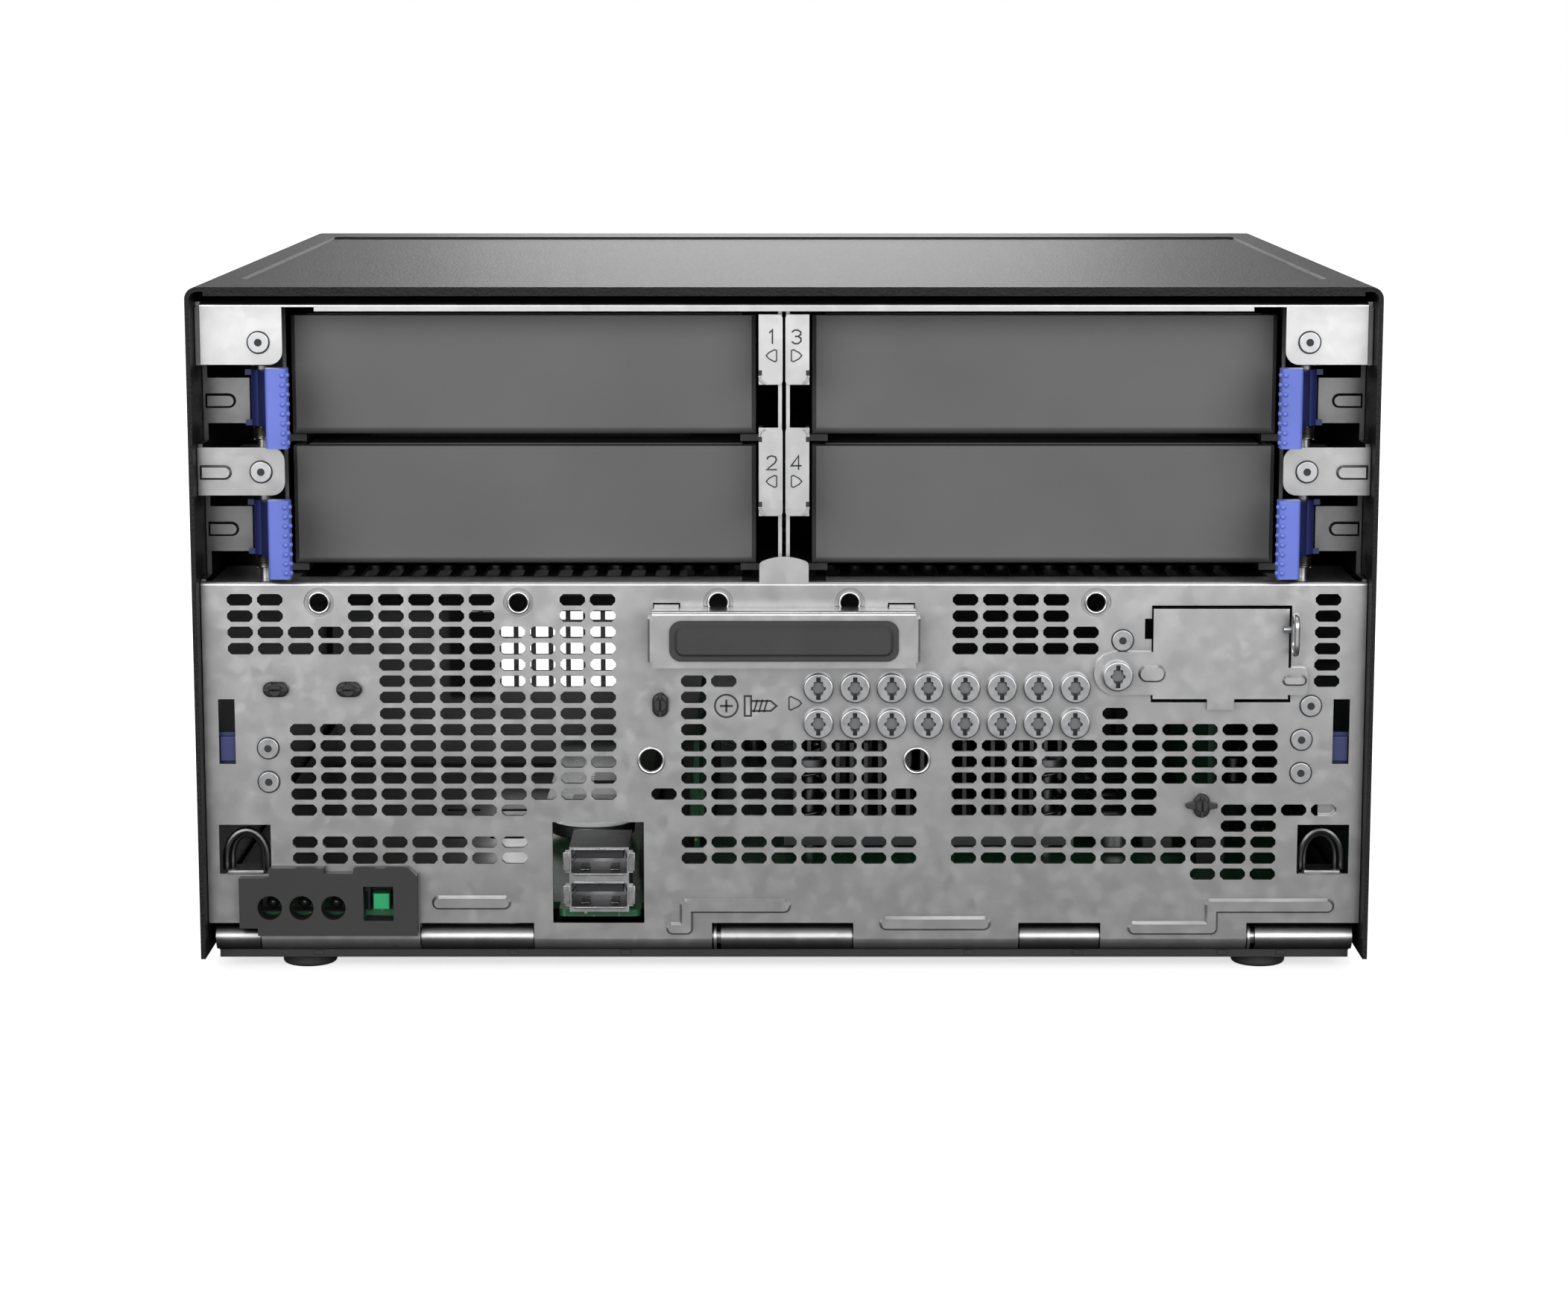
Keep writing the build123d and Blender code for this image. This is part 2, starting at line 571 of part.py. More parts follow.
backplane_depth = 169.0
with BuildPart() as backplane_board:
    block(-118, 118, backplane_depth, backplane_depth + 1.6, shelf_top + 0.5, 141.5)
    # ends stand outside the bay walls, which pass through slots
    for side in (-1, 1):
        block(side * (wall_inner - 0.2), side * (wall_outer + 0.2), 160, 180, 80, 150, mode=Mode.SUBTRACT)
        block(side * wall_outer, side * 120, 160, 180, 80, 150, mode=Mode.SUBTRACT)
    for middle in (-bay_x, bay_x):
        for height in (bay_low, bay_high):
            block(middle - 46, middle - 4, 160, 180, height + 1.5, height + 9.5, mode=Mode.SUBTRACT)
            block(middle + 4, middle + 46, 160, 180, height + 1.5, height + 9.5, mode=Mode.SUBTRACT)
keep(backplane_board, "backplane_board")

with BuildPart() as drive_connectors:
    for middle in (-bay_x, bay_x):
        for height in (bay_low, bay_high):
            block(middle - 40, middle + 2, 165.4, backplane_depth, height - 11, height - 5)
            block(middle - 38.5, middle + 0.5, 164, 168.2, height - 9.2, height - 6.8, mode=Mode.SUBTRACT)
keep(drive_connectors, "drive_connectors")

fan_back = fan_depth + fan_thick
shaft_radius = 1.5
with BuildPart() as fan_frame:
    with BuildSketch(facing(fan_depth)):
        with Locations((fan_x, z(fan_height))):
            RectangleRounded(fan_size, fan_size, 5)
            Circle(fan_bore, mode=Mode.SUBTRACT)
            with GridLocations(fan_size - 10, fan_size - 10, 2, 2):
                Circle(2.0, mode=Mode.SUBTRACT)
    extrude(amount=-fan_thick)
    # motor seat, its four struts and the shaft
    peg([(fan_x, fan_height)], fan_hub, fan_back - 3, fan_back)
    with BuildSketch(facing(fan_back - 2.5)):
        with Locations((fan_x, z(fan_height))):
            with PolarLocations((fan_hub + fan_bore) / 2, 4, start_angle=20):
                Rectangle(fan_bore - fan_hub + 1.5, 3.2)
    extrude(amount=-2.5)
    peg([(fan_x, fan_height)], 13.0, fan_back - 10, fan_back - 2)
    peg([(fan_x, fan_height)], shaft_radius, fan_back - 18, fan_back - 2)
keep(fan_frame, "fan_frame")

with BuildPart() as fan_screws:
    for side_x in (-1, 1):
        for side_z in (-1, 1):
            x = fan_x + side_x * (fan_size / 2 - 5)
            height = fan_height + side_z * (fan_size / 2 - 5)
            peg([(x, height)], 3.4, rear_depth + rear_sheet, rear_depth + rear_sheet + 0.9)
            peg([(x, height)], 1.9, fan_back - 4, rear_depth + rear_sheet + 0.2)
keep(fan_screws, "fan_screws")

with BuildPart() as panel_rivets_set:
    all_rivets = panel_rivets + corner_rivets + mid_rivets
    peg(all_rivets, rivet_radius, panel_depth - 0.5, panel_depth)
    fillet(panel_rivets_set.edges().group_by(Axis.Y)[0], 0.2)
    peg(all_rivets, rivet_hole - 0.02, panel_depth - 0.3, panel_back)
    peg(all_rivets, 0.72, panel_depth - 2, panel_depth + 4, mode=Mode.SUBTRACT)
keep(panel_rivets_set, "panel_rivets")

with BuildPart() as snap_clips:
    with BuildSketch(facing(panel_depth)):
        for x, height in snap_clips_flat:
            capsule(x - 2.8, x + 2.8, height - 1.7, height + 1.7)
        for x, height in snap_clips_upright:
            capsule(x - 1.75, x + 1.75, height - 2.7, height + 2.7)
    extrude(amount=1.6)
    fillet(snap_clips.edges().group_by(Axis.Y)[0], 0.7)
    peg(snap_clips_flat + snap_clips_upright, snap_hole - 0.02, panel_depth - 0.2, panel_depth + 4.5)
    for x, height in snap_clips_flat:
        notch_front, notch_back = panel_depth - 2, panel_depth - 0.8
        block(x - 0.8, x + 0.2, notch_front, notch_back, height - 0.6, height + 2, mode=Mode.SUBTRACT)
keep(snap_clips, "snap_clips")

# pull bracket: a face standing off the panel on folded edges
bracket_front = panel_depth - 7.0
bracket_half, bracket_low, bracket_high = 28.5, 65.1, 77.55
with BuildPart() as grip_bracket:
    block(-bracket_half, bracket_half, bracket_front, bracket_front + sheet, bracket_low, bracket_high)
    block(-bracket_half, bracket_half, bracket_front, panel_depth, bracket_high - sheet, bracket_high)
    upper_fold = grip_bracket.edges().filter_by(Axis.X).group_by(Axis.Z)[-1].group_by(Axis.Y)[0]
    fillet(upper_fold, 0.9)
    for side in (-1, 1):
        block(side * (bracket_half - 0.5), side * 29.5, bracket_front, bracket_front + sheet, 66.4, 75.9)
        block(side * (29.5 - sheet), side * 29.5, bracket_front + 0.2, panel_depth, 66.4, 75.9)
        # tabs hooked through the panel
        near, far, hook_top = side * 22.9, side * 28.2, bracket_high + 0.6
        block(near, far, panel_depth - 0.2, panel_depth + 3.0, bracket_high, hook_top)
        block(near, far, panel_depth - 1.6, panel_depth - 0.1, bracket_high - 0.4, hook_top)
    outer_folds = grip_bracket.edges().filter_by(Axis.Z).group_by(Axis.Y)[0].filter_by(
        lambda edge: abs(edge.center().X) > 29
    )
    fillet(outer_folds, 0.8)
    # stiffening step along the lower edge
    step_front, step_back = bracket_front + sheet, bracket_front + 1.8
    block(-bracket_half, bracket_half, step_front, step_back, bracket_low, bracket_low + 1.0)
keep(grip_bracket, "grip_bracket")

with BuildPart() as grip_pad:
    with BuildSketch(facing(bracket_front)):
        with Locations((0, z(71.05))):
            RectangleRounded(49.6, 8.9, 2.6)
    extrude(amount=0.35)
    with BuildSketch(facing(bracket_front - 0.35)):
        with Locations((0, z(71.05))):
            RectangleRounded(47.2, 6.6, 1.9)
    extrude(amount=0.65, taper=40)
keep(grip_pad, "grip_pad")

with BuildPart() as spare_screws:
    peg(spare_screw_places, screw_head, panel_depth - 1.6, panel_depth)
    fillet(spare_screws.edges().group_by(Axis.Y)[0], 0.35)
    peg(spare_screw_places, screw_shank - 0.03, panel_depth - 0.2, panel_depth + 6.5)
    with BuildSketch(facing(panel_depth - 1.6)):
        with Locations(*[(x, z(height)) for x, height in spare_screw_places]):
            recess_outline()
    extrude(amount=-1.2, mode=Mode.SUBTRACT)
keep(spare_screws, "spare_screws")

housing_front = 2.2
lamp_x = [-113.0, -106.0, -99.0]
lamp_height = 11.0
window = (-92.4, -85.8, 8.1, 15.8)
with BuildPart() as led_housing:
    with BuildSketch(facing(housing_front)):
        with BuildLine():
            Polyline(
                (-119.7, z(6.4)), (-115.7, z(6.4)), (-115.7, z(4.7)), (-80.6, z(4.7)),
                (-80.6, z(18.2)), (-82.4, z(19.9)), (-94.5, z(19.9)), (-94.5, z(18.7)),
                (-101.0, z(18.7)), (-101.0, z(19.9)), (-113.0, z(19.9)), (-113.0, z(17.6)),
                (-119.7, z(17.6)), (-119.7, z(6.4)),
            )
        make_face()
    extrude(amount=-(panel_depth - housing_front))
    # collar that passes through the panel, open behind for the lamp board
    block(-116.9, -83.5, panel_depth - 0.3, 13.0, 7.9, 16.1)
    block(-115.9, -84.5, panel_depth + 2.0, 14.0, 9.0, 15.1, mode=Mode.SUBTRACT)
    peg([(x, lamp_height) for x in lamp_x], 2.7, 0, 20, mode=Mode.SUBTRACT)
    x0, x1, h0, h1 = window
    block(x0, x1, 0, 20, h0, h1, mode=Mode.SUBTRACT)
    block(-117, -83, panel_depth + 1.9, 20, 6, 9.0, mode=Mode.SUBTRACT)
keep(led_housing, "led_housing")

board_height = 9.3        # upper face of the lamp board
with BuildPart() as led_board:
    block(-115.7, -84.7, 8.6, 26.0, board_height - 1.4, board_height)
    for x in lamp_x:
        block(x - 1.3, x + 1.3, 10.0, 13.0, board_height, board_height + 2.6)
        peg([(x, board_height + 1.3)], 1.2, 8.8, 10.2)
keep(led_board, "led_board")

button_x, button_height, button_half = -88.55, 12.15, 1.85
with BuildPart() as button_switch:
    block(-91.6, -85.95, 9.0, 15.0, board_height, 15.0)
    block(-90.2, -86.9, 8.0, 13.0, button_height - 1.6, button_height + 1.6, mode=Mode.SUBTRACT)
keep(button_switch, "button_switch")

with BuildPart() as latch_brackets:
    for side in (-1, 1):
        x0, x1 = side * 110.0, side * 118.5
        block(x0, x1, panel_back, panel_back + thin_sheet, 131.0, 140.5)
        block(x0, x1, panel_back, panel_back + thin_sheet, 102.3, 111.7)
        for low_edge, high_edge in ((131.0, 131.8), (102.3, 103.1), (110.9, 111.7)):
            block(x0, x1, panel_back, 17.5, low_edge, high_edge)
    pin_places = [(-pivot_x, pivot_depth), (pivot_x, pivot_depth)]
    post(pin_places, pin_radius, 100, 140, mode=Mode.SUBTRACT)
    peg(corner_rivets + mid_rivets, rivet_hole, panel_depth, 8, mode=Mode.SUBTRACT)
keep(latch_brackets, "latch_brackets")

with BuildPart() as latch_pins:
    post(pin_places, pin_radius, 110.6, 132.6)
    post(pin_places, pin_radius, panel_top, 103.6)
keep(latch_pins, "latch_pins")


def coil_profile(turns, pitch, inner):
    """Half section of a close-wound spring: a tube with a row of round turns."""
    points = [(inner, 0.0)]
    for turn in range(turns):
        points += [(inner + 0.45, turn * pitch), (inner + 0.45 + pitch / 2, (turn + 0.5) * pitch)]
    return points + [(inner + 0.45, turns * pitch), (inner, turns * pitch)]


spring_inner, coil_pitch = pin_radius + 0.15, 0.5
with BuildPart() as latch_springs:
    for side in (-1, 1):
        for low_edge, turns in ((113.2, 6), (129.3, 3), (85.0, 6), (101.2, 2)):
            with BuildSketch(Plane.XZ.offset(-y(pivot_depth))):
                with BuildLine():
                    outline = [
                        (side * pivot_x + radius, z(low_edge) + rise)
                        for radius, rise in coil_profile(turns, coil_pitch, spring_inner)
                    ]
                    Polyline(*outline, close=True)
                make_face()
            revolve(axis=Axis((side * pivot_x, y(pivot_depth), 0), (0, 0, 1)))
keep(latch_springs, "latch_springs")

# ============================================================ drive latches
barrel_radius = 2.3
grip_inner, grip_outer = 106.3, 111.0      # widths from the middle
grip_front, grip_back = -2.0, 1.5
corners = {1: (-1, 1), 2: (-1, 2), 3: (1, 1), 4: (1, 2)}
for number, (side, row) in corners.items():
    grip_low, grip_high = latch_spans[row]
    barrel_low, barrel_high = grip_low + 3.8, grip_high - 1.2
    with BuildPart() as latch:
        post([(-pivot_x, pivot_depth)], barrel_radius, barrel_low, barrel_high)
        # web from the barrel to the grip
        with BuildSketch(Plane.XY.offset(z(barrel_low))):
            with BuildLine():
                Polyline(
                    (-114.2, y(10.2)), (-111.6, y(13.0)), (-108.9, y(grip_back - 0.5)),
                    (-110.9, y(grip_back - 0.5)), close=True,
                )
            make_face()
        extrude(amount=barrel_high - barrel_low)
        # grip, with its front edges rounded
        block(-grip_outer, -grip_inner, grip_front, grip_back, grip_low, grip_high)
        fillet(latch.edges().filter_by(Axis.Z).group_by(Axis.Y)[0], 0.8)
        # stop wings behind the barrel
        block(-117.0, -114.5, 11.2, 12.8, barrel_low, barrel_low + 1.2)
        block(-117.0, -114.5, 11.2, 12.8, barrel_high - 1.2, barrel_high)
        post([(-pivot_x, pivot_depth)], pin_radius + running_gap, 80, 140, mode=Mode.SUBTRACT)
        if side > 0:
            mirror(about=Plane.YZ, mode=Mode.REPLACE)
    keep(latch, f"latch_{number}")

# =================================================================== drives
for number, (side, row) in corners.items():
    middle = side * bay_x
    height = bay_high if row == 1 else bay_low
    low, high = height - drive_height / 2, height + drive_height / 2
    left, right = middle - drive_width / 2, middle + drive_width / 2
    back = drive_front + drive_length
    with BuildPart() as drive:
        block(left, right, drive_front, back, low, high)
        chamfer(drive.edges().filter_by(Axis.Z).group_by(Axis.Y)[0], 0.9)
        fillet(drive.faces().sort_by(Axis.Y)[0].edges().sort_by(Axis.Z)[0], 1.6)
        # lid standing on the casting, and the board's recess underneath
        lid_front, lid_back = drive_front + 4, back - 14
        block(left + 1.5, right - 1.5, lid_front, lid_back, high - 0.6, high + 0.1, mode=Mode.SUBTRACT)
        block(left + 3, right - 3, drive_front + 5.5, back - 16, high - 0.7, high)
        block(left + 4, right - 4, back - 52, back + 1, low - 1, low + 1.2, mode=Mode.SUBTRACT)
        block(left + 10.5, left + 53, back - 6, back + 1, low - 1, low + 9.5, mode=Mode.SUBTRACT)
        block(left + 12, left + 51.5, back - 6.3, back - 0.6, low + 4.2, low + 5.4)
        # screw holes in the long sides
        screw_places = [(edge, y(back - d)) for edge in (left, right) for d in (28.5, 69.9, 130.1)]
        with Locations(*[(edge, d, z(low + 6.35)) for edge, d in screw_places]):
            Cylinder(1.6, 7.0, rotation=(0, 90, 0), mode=Mode.SUBTRACT)
    keep(drive, f"drive_{number}")

# ==================================================================== cover
half = width / 2
cover_bend = 2.6
thumb_x, thumb_height = 110.0, 136.5
with BuildPart() as cover_shell:
    with BuildSketch(facing(0)):
        with BuildLine():
            Polyline(
                (-half, z(0)), (-half, z(cover_height)), (half, z(cover_height)), (half, z(0)),
                (half - sheet, z(0)), (half - sheet, z(cover_height - sheet)),
                (-half + sheet, z(cover_height - sheet)), (-half + sheet, z(0)), (-half, z(0)),
            )
        make_face()
    extrude(amount=-cover_depth)
    long_edges = cover_shell.edges().filter_by(Axis.Y)
    fillet(long_edges.filter_by(lambda e: e.center().Z > z(cover_height - 0.1)), cover_bend)
    fillet(
        cover_shell.edges().filter_by(Axis.Y).filter_by(
            lambda e: abs(e.center().Z - z(cover_height - sheet)) < 0.01
        ),
        cover_bend - sheet,
    )
    # rear flanges, drawn in round the back of the frame
    flange_front = cover_depth - sheet
    block(-half + 2, half - 2, flange_front, cover_depth, 141.0, cover_height - sheet / 2)
    for side in (-1, 1):
        block(side * (half - 0.5), side * 117.0, flange_front, cover_depth, 1.0, 142.0)
        block(side * (half - 0.5), side * 102.0, flange_front, cover_depth, 129.5, 142.0)
    peg([(-thumb_x, thumb_height), (thumb_x, thumb_height)], 2.0, 215, 225, mode=Mode.SUBTRACT)
    # pressed border on the top: a groove down each side and a wide step behind
    with BuildSketch(Plane.XY.offset(z(cover_height))):
        with Locations(
            (-117.0, y(115.0)),
            (117.0, y(115.0)),
        ):
            SlotOverall(178, 5.8, rotation=90)
        with Locations((0, y(188.0))):
            Rectangle(234, 30)
    extrude(amount=-0.6, taper=30, mode=Mode.SUBTRACT)
    # short lip turned down along the front of the top
    block(-124.0, 124.0, 0, 1.0, cover_height - 1.9, cover_height - 0.5)
keep(cover_shell, "cover_shell")

for side, name in ((-1, "thumb_screw_left"), (1, "thumb_screw_right")):
    place = [(side * thumb_x, thumb_height)]
    with BuildPart() as thumb_screw:
        peg(place, 5.5, cover_depth, cover_depth + rear_reach)
        fillet(thumb_screw.edges().group_by(Axis.Y)[-1], 0.7)
        with BuildSketch(facing(cover_depth - 1)):
            with Locations((side * thumb_x, z(thumb_height))):
                with PolarLocations(5.75, 24):
                    Circle(0.5)
        extrude(amount=-(rear_reach + 2), mode=Mode.SUBTRACT)
        with BuildSketch(facing(cover_depth + rear_reach)):
            with Locations((side * thumb_x, z(thumb_height))):
                Rectangle(7.5, 1.2)
                Rectangle(1.2, 7.5)
        extrude(amount=1.6, mode=Mode.SUBTRACT)
        peg(place, 1.6, rear_depth - 5.0, cover_depth + 0.5)
    keep(thumb_screw, name)

# ====================================================== other moving pieces
blade_root, blade_chord, blade_rake = 17.7, 21.0, radians(38)
with BuildPart() as fan_rotor:
    peg([(fan_x, fan_height)], fan_hub - 0.5, fan_depth + 2.0, fan_back - 4.0)
    # cup that turns over the motor
    peg([(fan_x, fan_height)], fan_hub - 2.0, fan_back - 12.0, fan_back, mode=Mode.SUBTRACT)
    # nine raked blades, each drawn across its own radius
    for blade in range(9):
        turn = radians(40 * blade)
        out_x, out_z = cos(turn), sin(turn)
        section_plane = Plane(
            origin=(fan_x + blade_root * out_x, y(fan_depth + 11.0), z(fan_height) + blade_root * out_z),
            x_dir=(-out_z * cos(blade_rake), sin(blade_rake), out_x * cos(blade_rake)),
            z_dir=(out_x, 0, out_z),
        )
        with BuildSketch(section_plane):
            SlotOverall(blade_chord, 1.3)
        extrude(amount=fan_bore - blade_root - 1.6)
    peg([(fan_x, fan_height)], shaft_radius + running_gap, fan_depth, fan_back, mode=Mode.SUBTRACT)
keep(fan_rotor, "fan_rotor")

with BuildPart() as power_button:
    block(
        button_x - button_half, button_x + button_half, 3.4, 7.9,
        button_height - button_half, button_height + button_half,
    )
    fillet(power_button.faces().sort_by(Axis.Y)[0].edges(), 0.4)
    block(button_x - 1.5, button_x + 1.5, 7.0, 10.5, button_height - 1.5, button_height + 1.5)
keep(power_button, "power_button")

for side, name in ((-1, "frame_latch_left"), (1, "frame_latch_right")):
    with BuildPart() as frame_latch:
        block(side * 118.9, side * 125.3, 7.1, 8.9, 30.5, 49.4)
        fillet(frame_latch.edges().filter_by(Axis.Y), 1.0)
        # finger tab that shows in the panel's slot
        block(side * 120.2, side * 123.5, panel_back + 0.2, 7.2, 43.0, 48.6)
        fillet(frame_latch.faces().sort_by(Axis.Y)[0].edges().filter_by(Axis.X), 0.3)
    keep(frame_latch, name)

with BuildPart() as access_plate:
    with BuildSketch(facing(panel_depth)):
        box_outline(80.4, 109.9, 57.3, 77.2)
        capsule(67.6, 90.0, 58.2, 67.7)
        box_outline(100.0, 114.2, 58.2, 64.2)
        box_outline(92.3, 98.2, 54.9, 60.0)
        with Locations((plate_screw[0], z(plate_screw[1]))):
            Circle(plate_screw_hole, mode=Mode.SUBTRACT)
    extrude(amount=sheet)
    fillet(access_plate.edges().filter_by(Axis.Y).group_by(Axis.X)[-1], 1.2)
    # edges folded into the opening
    block(82.8, 108.0, panel_depth - 0.5, 11.0, 76.2, 77.2)
    block(82.8, 91.0, panel_depth - 0.5, 9.0, 57.3, 58.3)
    block(98.5, 108.0, panel_depth - 0.5, 9.0, 57.3, 58.3)
    with BuildSketch(facing(panel_depth - sheet)):
        capsule(77.2, 83.2, 61.0, 64.9)
        capsule(108.6, 114.0, 60.2, 62.7)
    extrude(amount=0.7, taper=35)
keep(access_plate, "access_plate")

with BuildPart() as access_screw:
    peg([plate_screw], screw_head, panel_depth - sheet - 1.6, panel_depth - sheet)
    fillet(access_screw.edges().group_by(Axis.Y)[0], 0.35)
    peg([plate_screw], plate_screw_hole - 0.1, panel_depth - sheet - 0.2, panel_depth + 5.0)
    with BuildSketch(facing(panel_depth - sheet - 1.6)):
        with Locations((plate_screw[0], z(plate_screw[1]))):
            recess_outline()
    extrude(amount=-1.2, mode=Mode.SUBTRACT)
keep(access_screw, "access_screw")

# wire loop standing at the plate's free edge
loop_x, loop_wire = 110.75, 0.6
loop_width, loop_height = 6.0, 9.4
with BuildPart() as pull_loop:
    with BuildSketch(Plane.YZ.offset(loop_x - loop_wire)):
        with Locations((y(0), z(72.1))):
            RectangleRounded(loop_width, loop_height, 2.8)
            hole_width, hole_height = loop_width - 4 * loop_wire, loop_height - 4 * loop_wire
            RectangleRounded(hole_width, hole_height, 1.6, mode=Mode.SUBTRACT)
    extrude(amount=2 * loop_wire)
    fillet(pull_loop.edges().group_by(Axis.X)[0] + pull_loop.edges().group_by(Axis.X)[-1], 0.5)
    # curled end, clinched to the plate
    with Locations(((loop_x + 108.6) / 2, y(3.2), z(72.8))):
        Cylinder(0.8, loop_x - 108.6, rotation=(0, 90, 0))
keep(pull_loop, "pull_loop")
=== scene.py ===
import bpy
import bmesh
import json
from math import cos, pi, radians, sin
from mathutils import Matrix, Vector


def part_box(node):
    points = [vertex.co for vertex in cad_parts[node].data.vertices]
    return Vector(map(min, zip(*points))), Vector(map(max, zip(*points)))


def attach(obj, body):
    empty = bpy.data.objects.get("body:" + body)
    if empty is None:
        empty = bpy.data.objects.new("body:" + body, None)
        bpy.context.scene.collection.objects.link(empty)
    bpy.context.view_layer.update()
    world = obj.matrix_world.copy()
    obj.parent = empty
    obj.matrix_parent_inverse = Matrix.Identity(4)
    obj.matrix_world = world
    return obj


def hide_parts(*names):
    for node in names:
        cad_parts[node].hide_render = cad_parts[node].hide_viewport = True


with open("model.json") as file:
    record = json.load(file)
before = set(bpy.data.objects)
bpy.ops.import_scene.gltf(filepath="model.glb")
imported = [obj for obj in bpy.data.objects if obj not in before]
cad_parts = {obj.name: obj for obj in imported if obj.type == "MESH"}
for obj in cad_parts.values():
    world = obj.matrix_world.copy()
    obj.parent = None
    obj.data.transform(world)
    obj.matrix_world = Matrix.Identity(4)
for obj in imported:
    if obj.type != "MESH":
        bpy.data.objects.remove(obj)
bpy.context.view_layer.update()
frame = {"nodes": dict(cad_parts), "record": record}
nodes = frame["nodes"]
scene = bpy.context.scene
MM = 0.001

# ------------------------------------------------------------ places in the frame
cover_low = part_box("cover_shell")[0]
front = cover_low.y            # the cover's front edge
sill = cover_low.z             # the cover's lower edge

# depths behind the cover's front edge, mm
PANEL = 5.0                    # the front panel's face
FAN_FRONT = 194.4              # the fan's front face
REAR_INNER = 219.6             # inner face of the rear walls
REAR_OUTER = 220.8             # outer face of the rear walls
PRINT = (PANEL - 0.03, PANEL + 0.05)    # printed marks, from just under the panel's face

# heights above the cover's lower edge, mm
BOARD = 9.7                    # the system board's upper face


def at(x, depth, height):
    """A point from millimetres: across, behind the cover's front edge, above its lower edge."""
    return Vector((x * MM, front + depth * MM, sill + height * MM))


# ---------------------------------------------------------------- camera and light
CAMERA_DISTANCE, CAMERA_HEIGHT = 797.9, 199.7    # in front of the cover and above its lower edge
CAMERA_DIP = 9.27                                # degrees below the horizon
FRONT_AIM = (0, -0.1, 0.1)                       # where the three front lights point, metres

camera_data = bpy.data.cameras.new("camera")
camera_data.sensor_width = 36.0
camera_data.lens = 85.7
camera = bpy.data.objects.new("camera", camera_data)
camera.location = at(0, -CAMERA_DISTANCE, CAMERA_HEIGHT)
camera.rotation_euler = (radians(90 - CAMERA_DIP), 0, 0)
scene.collection.objects.link(camera)
scene.camera = camera
scene.view_settings.view_transform = "Standard"
scene.view_settings.look = "None"


def studio_world():
    """White where the camera sees past the floor; elsewhere a bright ceiling over dim walls."""
    world = bpy.data.worlds.new("studio")
    world.use_nodes = True
    tree = world.node_tree
    background = tree.nodes["Background"]
    place = tree.nodes.new("ShaderNodeTexCoord")
    split = tree.nodes.new("ShaderNodeSeparateXYZ")
    ramp = tree.nodes.new("ShaderNodeValToRGB")
    light_path = tree.nodes.new("ShaderNodeLightPath")
    choose = tree.nodes.new("ShaderNodeMix")
    choose.data_type = "RGBA"
    tree.links.new(place.outputs["Generated"], split.inputs["Vector"])
    tree.links.new(split.outputs["Z"], ramp.inputs["Fac"])
    ramp.color_ramp.elements[0].position = 0.0
    ramp.color_ramp.elements[0].color = (0.75, 0.75, 0.75, 1)
    ramp.color_ramp.elements[1].position = 0.8
    ramp.color_ramp.elements[1].color = (0.30, 0.30, 0.30, 1)
    tree.links.new(light_path.outputs["Is Camera Ray"], choose.inputs[0])
    tree.links.new(ramp.outputs["Color"], choose.inputs[6])
    choose.inputs[7].default_value = (1, 1, 1, 1)
    tree.links.new(choose.outputs[2], background.inputs["Color"])
    scene.world = world


def area_light(name, place, target, size, power):
    """A soft box of light at a place, turned to a target, with its power in watts."""
    data = bpy.data.lights.new(name, "AREA")
    data.shape = "RECTANGLE"
    data.size, data.size_y = size
    data.energy = power
    light = bpy.data.objects.new(name, data)
    light.location = place
    light.rotation_euler = (Vector(target) - Vector(place)).to_track_quat("-Z", "Y").to_euler()
    scene.collection.objects.link(light)


studio_world()
area_light("left_light", (-0.7, -1.6, 0.6), FRONT_AIM, (1.0, 0.8), 10)
area_light("right_light", (0.7, -1.6, 0.6), FRONT_AIM, (1.0, 0.8), 10)
area_light("low_light", (0, -2.3, 0.22), FRONT_AIM, (2.4, 0.3), 4.2)
area_light("top_light", (0, -0.1, 1.3), (0, 0, 0.15), (0.9, 0.5), 4)
area_light("rear_light", (0, 1.4, 0.5), (0, 0, 0.15), (0.4, 0.7), 3.5)


